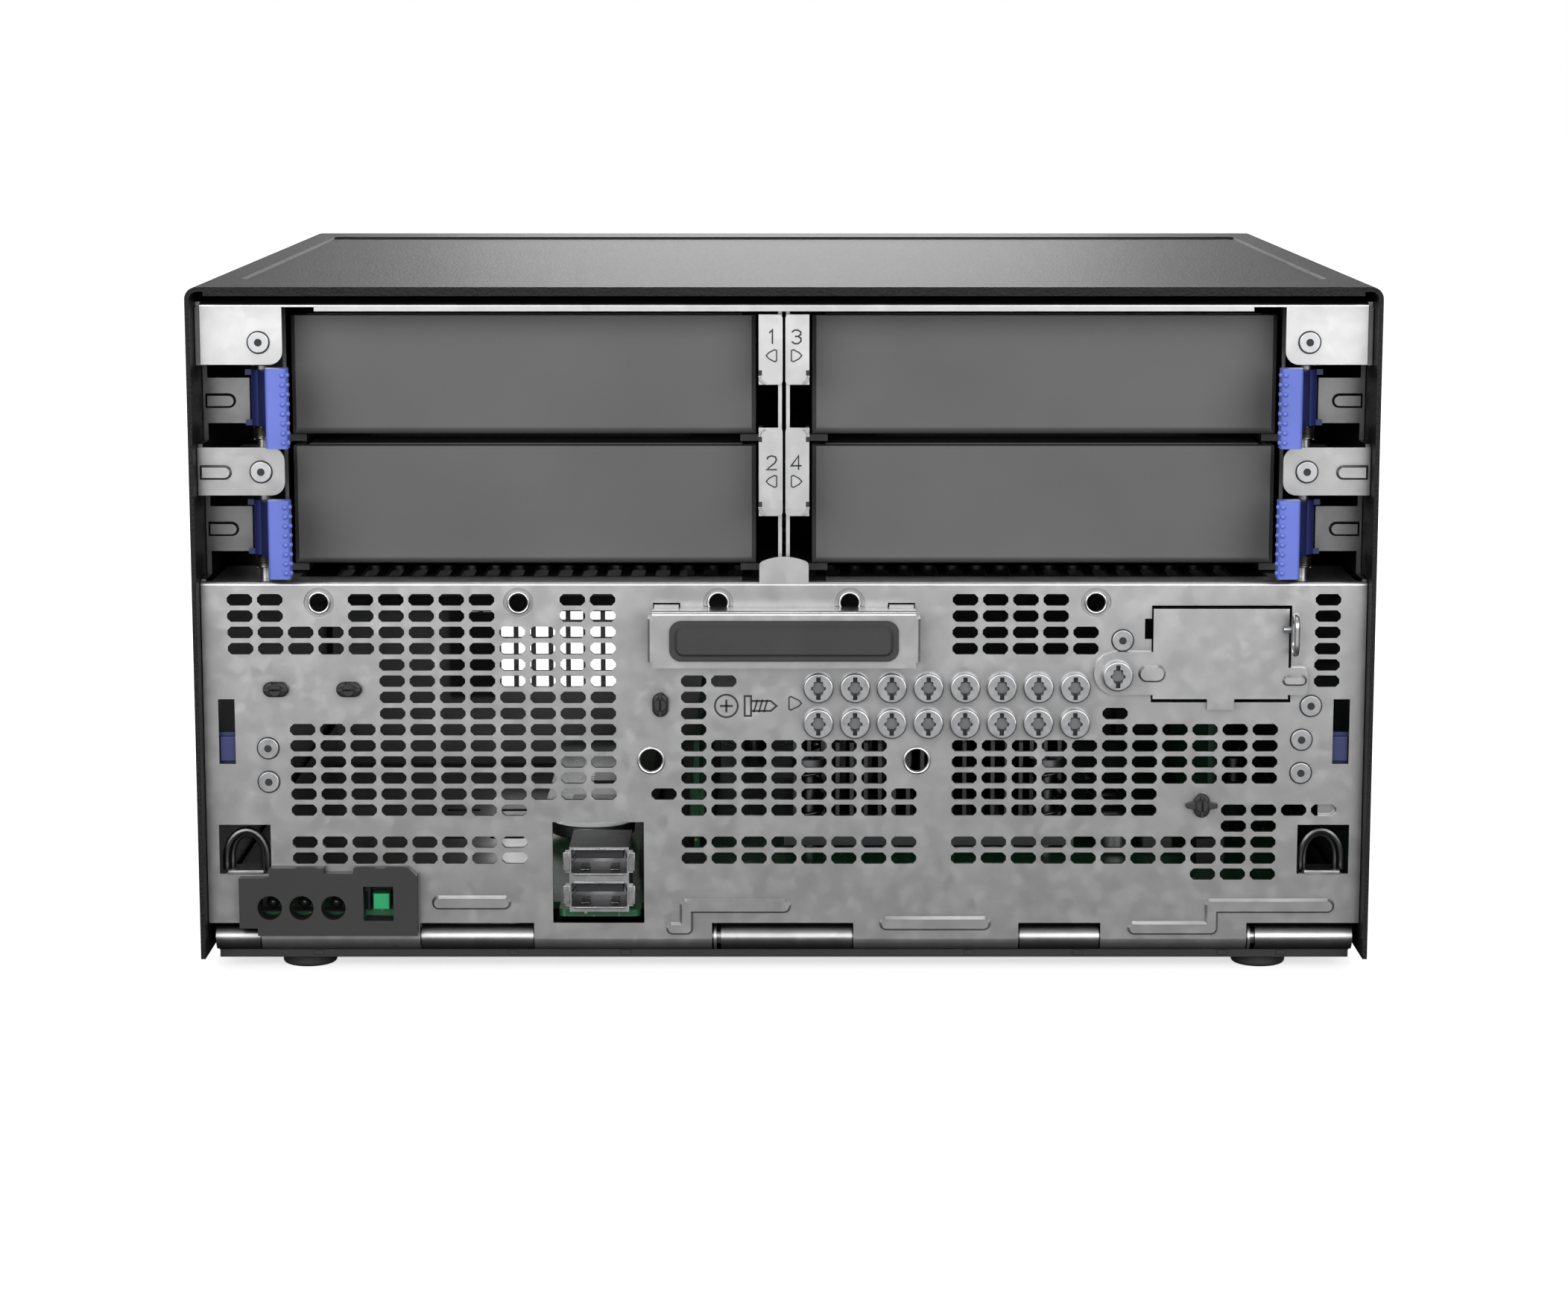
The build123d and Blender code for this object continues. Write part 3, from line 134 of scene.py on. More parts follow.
# --------------------------------------------------------------- material building
class Shader:
    """A material's node tree, with short calls for the nodes that the finishes share."""

    def __init__(self, name, rough=0.5, metal=0.0, colour=(0.5, 0.5, 0.5)):
        self.material = bpy.data.materials.new(name)
        self.material.use_nodes = True
        self.tree = self.material.node_tree
        self.surface = self.tree.nodes["Principled BSDF"]
        self.surface.inputs["Roughness"].default_value = rough
        self.surface.inputs["Metallic"].default_value = metal
        self.surface.inputs["Base Color"].default_value = (*colour, 1)
        self.place = self.add("ShaderNodeTexCoord").outputs["Object"]

    def add(self, kind, **settings):
        """A new node of a kind, with its settings."""
        node = self.tree.nodes.new(kind)
        for key, value in settings.items():
            setattr(node, key, value)
        return node

    def link(self, output, node, socket):
        self.tree.links.new(output, node.inputs[socket])

    def noise(self, scale, detail=3.0, rough=0.5, vector=None):
        node = self.add("ShaderNodeTexNoise")
        node.inputs["Scale"].default_value = scale
        node.inputs["Detail"].default_value = detail
        node.inputs["Roughness"].default_value = rough
        self.link(vector or self.place, node, "Vector")
        return node.outputs["Fac"]

    def cells(self, scale, feature="F1", vector=None, output="Color"):
        """Voronoi cells: their own grey (Color) or the distance from their middles (Distance)."""
        node = self.add("ShaderNodeTexVoronoi", feature=feature)
        node.inputs["Scale"].default_value = scale
        self.link(vector or self.place, node, "Vector")
        return node.outputs[output]

    def ramp(self, value, stops):
        """A tone that a value picks from stops, each a position and a colour."""
        node = self.add("ShaderNodeValToRGB")
        while len(node.color_ramp.elements) < len(stops):
            node.color_ramp.elements.new(0.5)
        for element, (position, colour) in zip(node.color_ramp.elements, stops):
            element.position = position
            element.color = (*colour, 1) if len(colour) == 3 else colour
        self.link(value, node, "Fac")
        return node.outputs["Color"]

    def spread(self, value, low, high, start=0.0, end=1.0):
        """A value that runs from start to end, brought to run from low to high."""
        node = self.add("ShaderNodeMapRange")
        node.inputs["From Min"].default_value = start
        node.inputs["From Max"].default_value = end
        node.inputs["To Min"].default_value = low
        node.inputs["To Max"].default_value = high
        self.link(value, node, "Value")
        return node.outputs["Result"]

    def mix(self, factor, first, second, blend="MIX"):
        """Two tones blended by a factor. Each of the three is a number, a colour or an output."""
        node = self.add("ShaderNodeMix", data_type="RGBA", blend_type=blend)
        for socket, value in ((0, factor), (6, first), (7, second)):
            if isinstance(value, (int, float)):
                node.inputs[socket].default_value = value
            elif isinstance(value, tuple):
                node.inputs[socket].default_value = (*value, 1)
            else:
                self.tree.links.new(value, node.inputs[socket])
        return node.outputs[2]

    def bump(self, height, strength, distance):
        """Small relief on the surface, from a height."""
        node = self.add("ShaderNodeBump")
        node.inputs["Strength"].default_value = strength
        node.inputs["Distance"].default_value = distance
        self.link(height, node, "Height")
        self.link(node.outputs["Normal"], self.surface, "Normal")

    def paint_shade_in_recesses(self, tone, distance, darkest):
        """A tone with painted shade: darkened in corners and recesses narrower than a distance in mm."""
        occlusion = self.add("ShaderNodeAmbientOcclusion", samples=8)
        occlusion.inputs["Distance"].default_value = distance * MM
        return self.mix(1.0, tone, self.spread(occlusion.outputs["AO"], darkest, 1.0), "MULTIPLY")

    def edge_highlight(self, low=0.48, high=0.6):
        """Bright where the surface turns outwards, from the mesh's own pointiness: a painted highlight
        along the edges.
        """
        geometry = self.add("ShaderNodeNewGeometry")
        return self.spread(geometry.outputs["Pointiness"], 0, 1, low, high)


def galvanised(name="galvanised_steel", light=0.70, rough=0.3, reach=8.0, darkest=0.35):
    """Zinc-coated sheet: soft overlapping spangles, faint clouds, a satin surface and painted shade in
    its recesses.
    """
    s = Shader(name, metal=1.0)
    ripple = s.add("ShaderNodeTexNoise")
    ripple.inputs["Scale"].default_value = 350
    s.link(s.place, ripple, "Vector")
    warped = s.mix(0.004, s.place, ripple.outputs["Color"])
    spangle = s.cells(420, feature="SMOOTH_F1", vector=warped)
    broad = s.cells(170, feature="SMOOTH_F1", vector=warped)
    cloud = s.noise(40, 4, 0.6)
    fine = s.noise(900, 3, 0.6)
    grey = s.mix(0.3, spangle, broad)
    tone = s.ramp(grey, [(0.1, (light * 0.90,) * 3), (0.9, (light * 1.06,) * 3)])
    tone = s.mix(s.spread(cloud, 0.0, 0.25, 0.3, 0.75), tone, (light * 0.93, light * 0.93, light * 0.92))
    # painted shade: the tone darkens in corners and recesses within reach mm, down to darkest
    s.link(s.paint_shade_in_recesses(tone, reach, darkest), s.surface, "Base Color")
    s.link(s.spread(grey, rough - 0.03, rough + 0.04), s.surface, "Roughness")
    s.bump(fine, 0.04, 0.0002)
    return s.material


def powder_coat():
    """Black textured paint: a fine pebble on a charcoal ground."""
    s = Shader("cover_black", rough=0.5)
    s.surface.inputs["Specular IOR Level"].default_value = 0.22
    pebble = s.noise(2300, 2, 0.5)
    lumps = s.cells(1500, output="Distance")
    dust = s.noise(30, 3)
    tone = s.ramp(dust, [(0.3, (0.007, 0.007, 0.008)), (0.7, (0.011, 0.011, 0.012))])
    tone = s.mix(s.spread(pebble, 0, 0.5, 0.45, 0.75), tone, (0.024, 0.024, 0.026))
    s.link(tone, s.surface, "Base Color")
    s.link(s.spread(pebble, 0.42, 0.6), s.surface, "Roughness")
    s.bump(s.mix(0.5, pebble, lumps), 0.5, 0.0003)
    return s.material


def plated(name, colour, rough=0.3, reach=4.0, darkest=0.35):
    """Plated or bare metal: faint clouds, uneven gloss and painted shade in its recesses."""
    s = Shader(name, metal=1.0, colour=colour)
    cloud = s.noise(300, 3, 0.55)
    low = tuple(c * 0.86 for c in colour)
    tone = s.ramp(cloud, [(0.3, low), (0.7, colour)])
    # painted shade: the tone darkens in corners and recesses within reach mm
    s.link(s.paint_shade_in_recesses(tone, reach, darkest), s.surface, "Base Color")
    s.link(s.spread(s.noise(700, 2), rough - 0.07, rough + 0.12), s.surface, "Roughness")
    s.bump(s.noise(2500, 2), 0.06, 0.0001)
    return s.material


def moulded(name, colour, rough=0.45, grain=2600, strength=0.12, highlight_strength=0.25):
    """Injection-moulded plastic: a spark-eroded grain, faint flow clouds, painted highlights on its
    edges and painted shade in its recesses.
    """
    s = Shader(name, rough=rough)
    cloud = s.noise(60, 3)
    low = tuple(c * 0.85 for c in colour)
    high = tuple(min(1.0, c * 1.12) for c in colour)
    tone = s.ramp(cloud, [(0.3, low), (0.7, high)])
    # painted highlight: the outward edges are lifted towards a brighter tone
    highlight_tone = tuple(min(1.0, c * 1.25 + 0.02) for c in colour)
    edge = s.mix(s.edge_highlight(), (0, 0, 0), (highlight_strength, highlight_strength, highlight_strength))
    tone = s.mix(edge, tone, highlight_tone)
    # painted shade: the tone darkens in corners and recesses within 6 mm
    s.link(s.paint_shade_in_recesses(tone, 6.0, 0.3), s.surface, "Base Color")
    fine = s.noise(grain, 2)
    s.link(s.spread(fine, rough - 0.06, rough + 0.08), s.surface, "Roughness")
    s.bump(fine, strength, 0.0001)
    return s.material


def shaded_latch_plastic():
    """The latch's blue plastic, with painted shade turning it navy on the barrel and web behind the
    grip, and more painted shade in its recesses.
    """
    s = Shader("shaded_latch_plastic", rough=0.4)
    split = s.add("ShaderNodeSeparateXYZ")
    s.link(s.place, split, "Vector")
    # painted shade: the blue turns navy from 1.6 to 3.2 mm behind the cover's front edge, where the
    # barrel and web sit in shadow
    behind = s.spread(split.outputs["Y"], 0, 1, front + 1.6 * MM, front + 3.2 * MM)
    cloud = s.ramp(s.noise(60, 3), [(0.3, (0.135, 0.19, 0.66)), (0.7, (0.165, 0.225, 0.76))])
    tone = s.mix(behind, cloud, (0.020, 0.028, 0.15))
    s.link(s.paint_shade_in_recesses(tone, 5.0, 0.3), s.surface, "Base Color")
    s.link(s.spread(s.noise(1500, 2), 0.34, 0.48), s.surface, "Roughness")
    s.bump(s.noise(1500, 2), 0.05, 0.0001)
    return s.material


def circuit_board():
    """Green solder mask over bundles of copper tracks, with plated through-holes."""
    s = Shader("circuit_board", rough=0.35)
    tracks = s.add("ShaderNodeTexBrick", offset=0.35, squash=1.0)
    tracks.inputs["Scale"].default_value = 140
    tracks.inputs["Mortar Size"].default_value = 0.03
    tracks.inputs["Brick Width"].default_value = 1.7
    tracks.inputs["Row Height"].default_value = 0.17
    tracks.inputs["Color1"].default_value = (0.012, 0.085, 0.035, 1)
    tracks.inputs["Color2"].default_value = (0.016, 0.105, 0.045, 1)
    tracks.inputs["Mortar"].default_value = (0.05, 0.19, 0.09, 1)
    s.link(s.place, tracks, "Vector")
    holes = s.cells(420, output="Distance")
    tone = s.mix(s.spread(holes, 1, 0, 0.12, 0.16), tracks.outputs["Color"], (0.45, 0.40, 0.25))
    s.link(tone, s.surface, "Base Color")
    s.link(s.spread(s.noise(300), 0.28, 0.42), s.surface, "Roughness")
    s.bump(tracks.outputs["Fac"], 0.1, 0.0001)
    return s.material


def drive_metal():
    """Satin grey paint on a die casting."""
    s = Shader("drive_grey", rough=0.42, metal=0.35)
    tone = s.ramp(s.noise(25, 3), [(0.3, (0.120,) * 3), (0.7, (0.140,) * 3)])
    s.link(tone, s.surface, "Base Color")
    fine = s.noise(1400, 2)
    s.link(s.spread(fine, 0.38, 0.5), s.surface, "Roughness")
    s.bump(fine, 0.05, 0.0001)
    return s.material


steel = galvanised()
# painted shade: darker copies of the galvanised steel, with shade painted further into the recesses of
# the inner walls, cage sides and base
shaded_inner_steel = galvanised("shaded_inner_steel", light=0.42, rough=0.42, reach=90.0, darkest=0.03)
shaded_side_steel = galvanised("shaded_side_steel", light=0.66, reach=30.0, darkest=0.0)
shaded_base_steel = galvanised("shaded_base_steel", reach=60.0, darkest=0.04)
cover_paint = powder_coat()
zinc = plated("plated_steel", (0.62, 0.625, 0.64))
shaded_zinc = plated("shaded_zinc", (0.30, 0.305, 0.31), 0.4)
spring_wire = plated("spring_steel", (0.24, 0.225, 0.20), 0.28)
# painted shade: the port shells turn black within 12 mm of enclosing surfaces
tin = plated("port_shell", (0.62, 0.62, 0.63), 0.25, 12.0, 0.0)
rubber = moulded("foot_rubber", (0.045, 0.045, 0.045), 0.7, 1800, 0.2, 0.1)
board = circuit_board()
black = moulded("black_plastic", (0.022, 0.022, 0.024), 0.42)
charcoal = moulded("housing_plastic", (0.024, 0.024, 0.025), 0.48, 3000, 0.15)
blue = moulded("latch_blue", (0.155, 0.215, 0.74), 0.40, 1500, 0.05, 0.3)
shaded_latch_blue = shaded_latch_plastic()
# painted shade: a dark navy copy of the latch blue for the sliders set back in their slots
shaded_slider_blue = moulded("shaded_slider_blue", (0.035, 0.045, 0.17), 0.5, 1500, 0.05, 0.2)
green = moulded("button_green", (0.02, 0.40, 0.15), 0.4, 1500, 0.15, 0.3)
anodised = plated("sink_aluminium", (0.20, 0.20, 0.21), 0.4)
package = moulded("processor_package", (0.03, 0.035, 0.03), 0.35)
drive_paint = drive_metal()
# dark ink, used for print and also as painted shade in rivet bores, screw slots, relief cuts and the
# dark strips on the rear wall and fan
ink = moulded("ink_and_painted_shade", (0.020, 0.020, 0.022), 0.55, 1500, 0.02, 0.1)
gold = plated("gold_contact", (0.80, 0.56, 0.22), 0.25)
can_sleeve = plated("can_aluminium", (0.62, 0.62, 0.64), 0.3)
choke_grey = moulded("choke_grey", (0.085, 0.088, 0.092), 0.5, 1800, 0.1, 0.1)
lamp_green = moulded("lamp_green", (0.10, 0.42, 0.12), 0.25, 1500, 0.02, 0.1)
lamp_clear = moulded("lamp_clear", (0.028, 0.034, 0.026), 0.2, 1500, 0.02, 0.1)
# painted shade: a darker wire tone for the hook springs inside their openings
shaded_hook_wire = plated("hook_spring", (0.16, 0.16, 0.16), 0.3)
label_paper = moulded("label_paper", (0.62, 0.62, 0.60), 0.6, 900, 0.03, 0.05)

finishes = {
    "galvanised_steel": steel, "cover_black": cover_paint, "plated_steel": zinc,
    "spring_steel": spring_wire, "foot_rubber": rubber, "circuit_board": board,
    "black_plastic": black, "housing_plastic": charcoal, "port_shell": tin,
    "sink_aluminium": anodised, "processor_package": package, "drive_grey": drive_paint,
    "latch_blue": blue, "button_green": green,
}
# nodes whose finish is a copy of their slot's with painted shade: darker, or with shade painted further
# into their recesses
special = {
    "base_pan": shaded_base_steel, "cage_left_side": shaded_side_steel, "cage_right_side": shaded_side_steel,
    "rear_io_wall": shaded_inner_steel, "frame_rear_wall": shaded_inner_steel,
    "cage_shelf": shaded_inner_steel, "bay_wall_left": shaded_inner_steel, "bay_wall_right": shaded_inner_steel,
    **{f"latch_{number}": shaded_latch_blue for number in range(1, 5)},
    "frame_latch_left": shaded_slider_blue, "frame_latch_right": shaded_slider_blue,
}
for part in frame["record"]["subparts"]:
    mesh = nodes[part["node"]].data
    mesh.materials.clear()
    mesh.materials.append(special.get(part["node"], finishes[part["material_slot"]]))


# ------------------------------------------------------------------ piece building
def circle(x, y, radius, sides=28):
    """Points round a circle, in whichever plane the caller means."""
    turns = [2 * pi * i / sides for i in range(sides)]
    return [(x + radius * cos(turn), y + radius * sin(turn)) for turn in turns]


def corner(bm, point):
    return bm.verts.new(at(*point))


def add_prism(bm, outline, low, high, axis="depth"):
    """An outline pushed between two limits: (x, height) along depth, or (x, depth) along height."""
    def place(a, b, c):
        return (a, c, b) if axis == "depth" else (a, b, c)
    first = [corner(bm, place(a, b, low)) for a, b in outline]
    second = [corner(bm, place(a, b, high)) for a, b in outline]
    count = len(outline)
    bm.faces.new(first)
    bm.faces.new(list(reversed(second)))
    for i in range(count):
        j = (i + 1) % count
        bm.faces.new((first[j], first[i], second[i], second[j]))


def add_box(bm, x0, x1, d0, d1, h0, h1):
    add_prism(bm, [(x0, h0), (x1, h0), (x1, h1), (x0, h1)], d0, d1)


def add_disc(bm, x, height, radius, d0, d1, sides=28, start=0.0, turn=2 * pi):
    """A round plug that runs front to back, or a part of one."""
    steps = sides if turn >= 2 * pi else sides + 1
    outline = [
        (x + radius * cos(start + turn * i / sides), height + radius * sin(start + turn * i / sides))
        for i in range(steps)
    ]
    add_prism(bm, outline, d0, d1)


def add_can(bm, x, depth, radius, h0, h1, sides=28):
    """An upright round can."""
    add_prism(bm, circle(x, depth, radius, sides), h0, h1, axis="height")


def add_ribbon(bm, points, width, d0, d1, closed=False):
    """A stroke of even width along points (x, height), with mitred corners."""
    path = [Vector(p) for p in points]
    count = len(path)
    left, right = [], []
    for i, p in enumerate(path):
        before = path[i - 1] if i > 0 or closed else None
        after = path[(i + 1) % count] if i < count - 1 or closed else None
        ahead = (after - p).normalized() if after is not None else (p - before).normalized()
        behind = (p - before).normalized() if before is not None else ahead
        normal_in, normal_out = Vector((-behind.y, behind.x)), Vector((-ahead.y, ahead.x))
        mitre = normal_in + normal_out
        mitre = mitre.normalized() if mitre.length > 0.01 else normal_in
        reach = width / 2 / max(0.45, mitre.dot(normal_in))
        left.append(p + mitre * reach)
        right.append(p - mitre * reach)
    for i in range(count if closed else count - 1):
        j = (i + 1) % count
        add_prism(bm, [tuple(right[i]), tuple(right[j]), tuple(left[j]), tuple(left[i])], d0, d1)


def add_wire(bm, points, radius, sides=10, closed=False):
    """A round wire bent along points (x, depth, height)."""
    path = [at(*p) for p in points]
    count = len(path)
    rings = []
    side = None
    for i, p in enumerate(path):
        after = path[(i + 1) % count] if closed or i < count - 1 else p
        before = path[i - 1] if closed or i > 0 else p
        along = (after - before).normalized()
        if side is None:
            side = along.orthogonal().normalized()
        side = (side - along * side.dot(along)).normalized()
        other = along.cross(side)
        turns = [2 * pi * k / sides for k in range(sides)]
        spokes = [side * cos(turn) + other * sin(turn) for turn in turns]
        rings.append([bm.verts.new(p + spoke * radius * MM) for spoke in spokes])
    for i in range(count if closed else count - 1):
        a, b = rings[i], rings[(i + 1) % count]
        for k in range(sides):
            m = (k + 1) % sides
            bm.faces.new((a[k], b[k], b[m], a[m]))
    if not closed:
        bm.faces.new(rings[0])
        bm.faces.new(list(reversed(rings[-1])))


def piece(name, bm, material, body, soften=0.0):
    """Finishes a mesh as a named piece that rides on a body, with its edges rounded by soften mm."""
    bmesh.ops.recalc_face_normals(bm, faces=bm.faces)
    mesh = bpy.data.meshes.new(name)
    bm.to_mesh(mesh)
    bm.free()
    obj = bpy.data.objects.new(name, mesh)
    scene.collection.objects.link(obj)
    mesh.materials.append(material)
    for face in mesh.polygons:
        face.use_smooth = True
    mesh.set_sharp_from_angle(angle=radians(35))
    if soften:
        bevel = obj.modifiers.new("rounded_edges", "BEVEL")
        bevel.width = soften * MM
        bevel.segments = 2
        bevel.angle_limit = radians(40)
    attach(obj, body)
    return obj


# ---------------------------------------------------------------- marks on the steel
# strokes of each bay number, as points (x, height) round its middle and above its foot
DIGITS = {
    "1": [[(-0.55, 2.35), (0.15, 3.0), (0.15, 0.0)]],
    "2": [
        [
            (-1.0, 2.2), (-0.8, 2.75), (0.0, 3.0), (0.8, 2.75),
            (1.0, 2.15), (0.7, 1.5), (-1.05, 0.0), (1.1, 0.0),
        ],
    ],
    "3": [
        [(-0.95, 2.5), (-0.4, 2.95), (0.35, 2.95), (0.95, 2.55), (0.95, 2.0), (0.4, 1.6), (-0.3, 1.6)],
        [(0.4, 1.6), (1.0, 1.2), (1.0, 0.55), (0.4, 0.05), (-0.4, 0.05), (-1.0, 0.5)],
    ],
    "4": [[(0.5, 0.0), (0.5, 3.0), (-1.1, 0.85), (1.15, 0.85)]],
}


# each bay's number, its side, and the height of the number's foot
BAY_MARKS = [("1", -1, 134.7), ("2", -1, 107.5), ("3", 1, 134.7), ("4", 1, 107.5)]


def bay_numbers():
    """A thin printed number on each drive tab, over an arrowhead that points to its drive."""
    bm = bmesh.new()
    for digit, side, base in BAY_MARKS:
        for stroke in DIGITS[digit]:
            shifted = [(side * 2.65 + x, base + h) for x, h in stroke]
            add_ribbon(bm, shifted, 0.32, *PRINT)
        middle = base - 2.55
        half = [(3.2, 0.7), (2.0, 1.3), (1.6, 1.1)]
        arrow = [(side * 3.85, middle)]
        arrow += [(side * out, middle + rise) for out, rise in half]
        arrow += [(side * out, middle - rise) for out, rise in reversed(half)]
        add_ribbon(bm, arrow, 0.26, *PRINT, closed=True)
    piece("bay_numbers", bm, ink, "frame")


def screw_mark():
    """A printed picture of a screw, and an arrowhead towards the spare screws."""
    bm = bmesh.new()
    add_ribbon(bm, circle(-12.6, 55.6, 2.5, 24), 0.4, *PRINT, closed=True)
    add_ribbon(bm, [(-14.0, 55.6), (-11.2, 55.6)], 0.45, *PRINT)
    add_ribbon(bm, [(-12.6, 54.2), (-12.6, 57.0)], 0.45, *PRINT)
    head = [(-8.6, 53.4), (-7.2, 53.4), (-7.2, 57.8), (-8.6, 57.8)]
    add_ribbon(bm, head, 0.4, *PRINT, closed=True)
    shank = [(-7.2, 54.5), (-2.9, 54.5), (-1.6, 55.6), (-2.9, 56.7), (-7.2, 56.7)]
    add_ribbon(bm, shank, 0.4, *PRINT)
    for x in (-6.2, -5.1, -4.0):
        add_ribbon(bm, [(x - 0.4, 54.2), (x + 0.4, 57.0)], 0.35, *PRINT)
    arrow = [(1.1, 54.9), (1.5, 54.7), (3.3, 55.6), (3.8, 56.2), (3.3, 56.8), (1.5, 57.7), (1.1, 57.5)]
    add_ribbon(bm, arrow, 0.28, *PRINT, closed=True)
    piece("screw_mark", bm, ink, "frame")


# middle of each hollow rivet (x, height)
RIVETS = [
    (-112.9, 46.2), (-112.9, 38.7), (115.1, 55.6), (113.2, 48.1), (113.2, 40.7), (73.8, 70.1),
    (-113.1, 135.0), (113.1, 135.0), (-113.1, 107.0), (113.1, 107.0),
]


def rivet_marks():
    """Painted shade in the bore of each hollow rivet, and a dark line of painted shade round its flared
    head.
    """
    bm = bmesh.new()
    for x, height in RIVETS:
        # painted shade: dark discs in the bores and dark rings round the heads
        add_disc(bm, x, height, 0.82, PANEL - 0.54, PANEL - 0.45)
        add_ribbon(bm, circle(x, height, 2.42), 0.2, PANEL - 0.05, PANEL + 0.05, closed=True)
    piece("rivet_marks", bm, ink, "frame")


# middle of each screw head (x, height)
SPARE_SCREWS = [(7.5 + 8.01 * column, height) for column in range(8) for height in (59.7, 51.8)]
ACCESS_SCREW = (72.7, 62.5)


def screw_recesses(name, places, seat, body):
    """The shaded floor of each screw's recess, with the slot across it and a ring round it painted dark
    as shade.
    """
    slots, floors = bmesh.new(), bmesh.new()
    bottom = seat - 0.38
    for x, height in places:
        for low, high in ((-2.45, -1.2), (1.2, 2.45)):
            # painted shade: dark ink in the slot and round the edge of the recess
            add_box(slots, x - 0.44, x + 0.44, seat - 0.7, bottom, height + low, height + high)
        add_ribbon(slots, circle(x, height, 1.42, 18), 0.22, seat - 0.6, bottom, closed=True)
        add_disc(floors, x, height, 1.3, seat - 0.55, bottom)
    piece(f"{name}_slots", slots, ink, body)
    piece(f"{name}_floors", floors, shaded_zinc, body)


def hole_rims():
    """Bright flared rims round the two locating holes and the five dimples."""
    bm = bmesh.new()
    for x in (-29.1, 29.1):
        add_wire(bm, [(a, PANEL - 0.05, b) for a, b in circle(x, 43.5, 2.75, 36)], 0.35, closed=True)
    for x in (-101.2, -57.8, -14.3, 14.3, 67.9):
        add_wire(bm, [(a, PANEL + 0.02, b) for a, b in circle(x, 78.4, 2.2, 36)], 0.28, closed=True)
    piece("hole_rims", bm, steel, "frame")


def tab_curls():
    """The curled outer corners of the numbered tabs, with the relief cut above each filled dark as
    painted shade.
    """
    curls, cuts = bmesh.new(), bmesh.new()
    for side in (-1, 1):
        for corner_height, up in ((125.9, 1), (97.4, 1), (116.6, -1)):
            turns = [pi / 2 * i / 6 for i in range(7)]
            bend = [
                (side * (5.30 - 1.3 * (1 - cos(turn))), corner_height + up * (2.0 - 1.7 * sin(turn)))
                for turn in turns
            ]
            add_ribbon(curls, bend, 0.55, PANEL - 0.25, PANEL + 0.3)
            low, high = sorted((corner_height + up * 2.0, corner_height + up * 3.1))
            # painted shade: a dark block in each relief cut
            add_box(cuts, *sorted((side * 4.75, side * 5.5)), PANEL - 0.04, PANEL + 0.6, low, high)
    piece("tab_curls", curls, steel, "frame", 0.1)
    piece("tab_cuts", cuts, ink, "frame")


def rear_shade_strips():
    """Dark strips of painted shade inside the rear wall: behind its joint, and over the vents beside the
    middle patch.
    """
    bm = bmesh.new()
    inner = REAR_INNER - 1.4
    add_box(bm, -122, 122, inner, REAR_INNER - 0.7, 43.8, 47.9)
    for x0, x1, low in ((-92, -79.3, 20.0), (-45.0, -33.0, 20.0), (17.0, 107.0, 26.5)):
        add_box(bm, x0, x1, inner, REAR_INNER - 0.1, low, 43.6)
    piece("rear_shade_strips", bm, ink, "base")


def fan_shade_strip():
    """A dark strip of painted shade on the fan's lower edge, which also keeps light out from below the
    drives.
    """
    bm = bmesh.new()
    add_box(bm, -22, 62, FAN_FRONT - 1.0, FAN_FRONT - 0.1, 49.5, 61.0)
    piece("fan_shade_strip", bm, ink, "frame")


def base_rim():
    """A dark strip over the front edge of the base plate, below the knuckles, with its small tabs."""
    bm = bmesh.new()
    add_box(bm, -124.7, 124.7, 7.38, 7.6, -1.28, 0.42)
    for x in (-103.0, -60.0, -35.0, 41.0, 65.0, 97.0, 110.0):
        add_box(bm, x - 1.1, x + 1.1, 7.1, 7.5, -0.7, 0.3)
    piece("base_rim", bm, charcoal, "base", 0.08)


# ------------------------------------------------------------------- latch details
LATCH_SPANS = {1: (112.7, 129.9), 2: (84.5, 101.5)}         # foot and top of each row's latches
LATCHES = {1: (-1, 1), 2: (-1, 2), 3: (1, 1), 4: (1, 2)}    # each bay's side and its row from the top
PIVOT_X, PIVOT_DEPTH = 113.5, 12.0
COILS = ((113.2, 6), (129.3, 3), (85.0, 6), (101.2, 2))     # foot and turns of each spring on a side
COIL_RADIUS, COIL_STEPS, COIL_RISE = 1.78, 20, 0.5


def add_ball(bm, x, depth, height, radius):
    ball = bmesh.ops.create_icosphere(bm, subdivisions=2, radius=radius * MM)
    bmesh.ops.translate(bm, verts=ball["verts"], vec=at(x, depth, height))


def latch_bumps():
    """Rows of small pips that give a finger its hold on each latch."""
    for number, (side, row) in LATCHES.items():
        low, high = LATCH_SPANS[row]
        bm = bmesh.new()
        for bump in range(8):
            height = low + 1.3 + bump * (high - low - 2.7) / 7
            add_ball(bm, side * 106.35, -1.05, height, 0.6)
            add_ball(bm, side * 107.2, -1.9, height, 0.6)
        piece(f"latch_{number}_pips", bm, blue, f"latch_{number}")


def latch_coils():
    """The wound springs on the latch pins, at the foot and the top of each latch."""
    bm = bmesh.new()
    for side in (-1, 1):
        for low, turns in COILS:
            last = COIL_STEPS * turns
            path = [
                (
                    side * (PIVOT_X + COIL_RADIUS * cos(2 * pi * step / COIL_STEPS)),
                    PIVOT_DEPTH + COIL_RADIUS * sin(2 * pi * step / COIL_STEPS),
                    low + 0.25 + COIL_RISE * (turns - 1) * step / last,
                )
                for step in range(last + 1)
            ]
            add_wire(bm, path, 0.235, sides=8)
    coils = piece("latch_coils", bm, spring_wire, "frame")
    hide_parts("latch_springs")


HOOK_X = 118.5


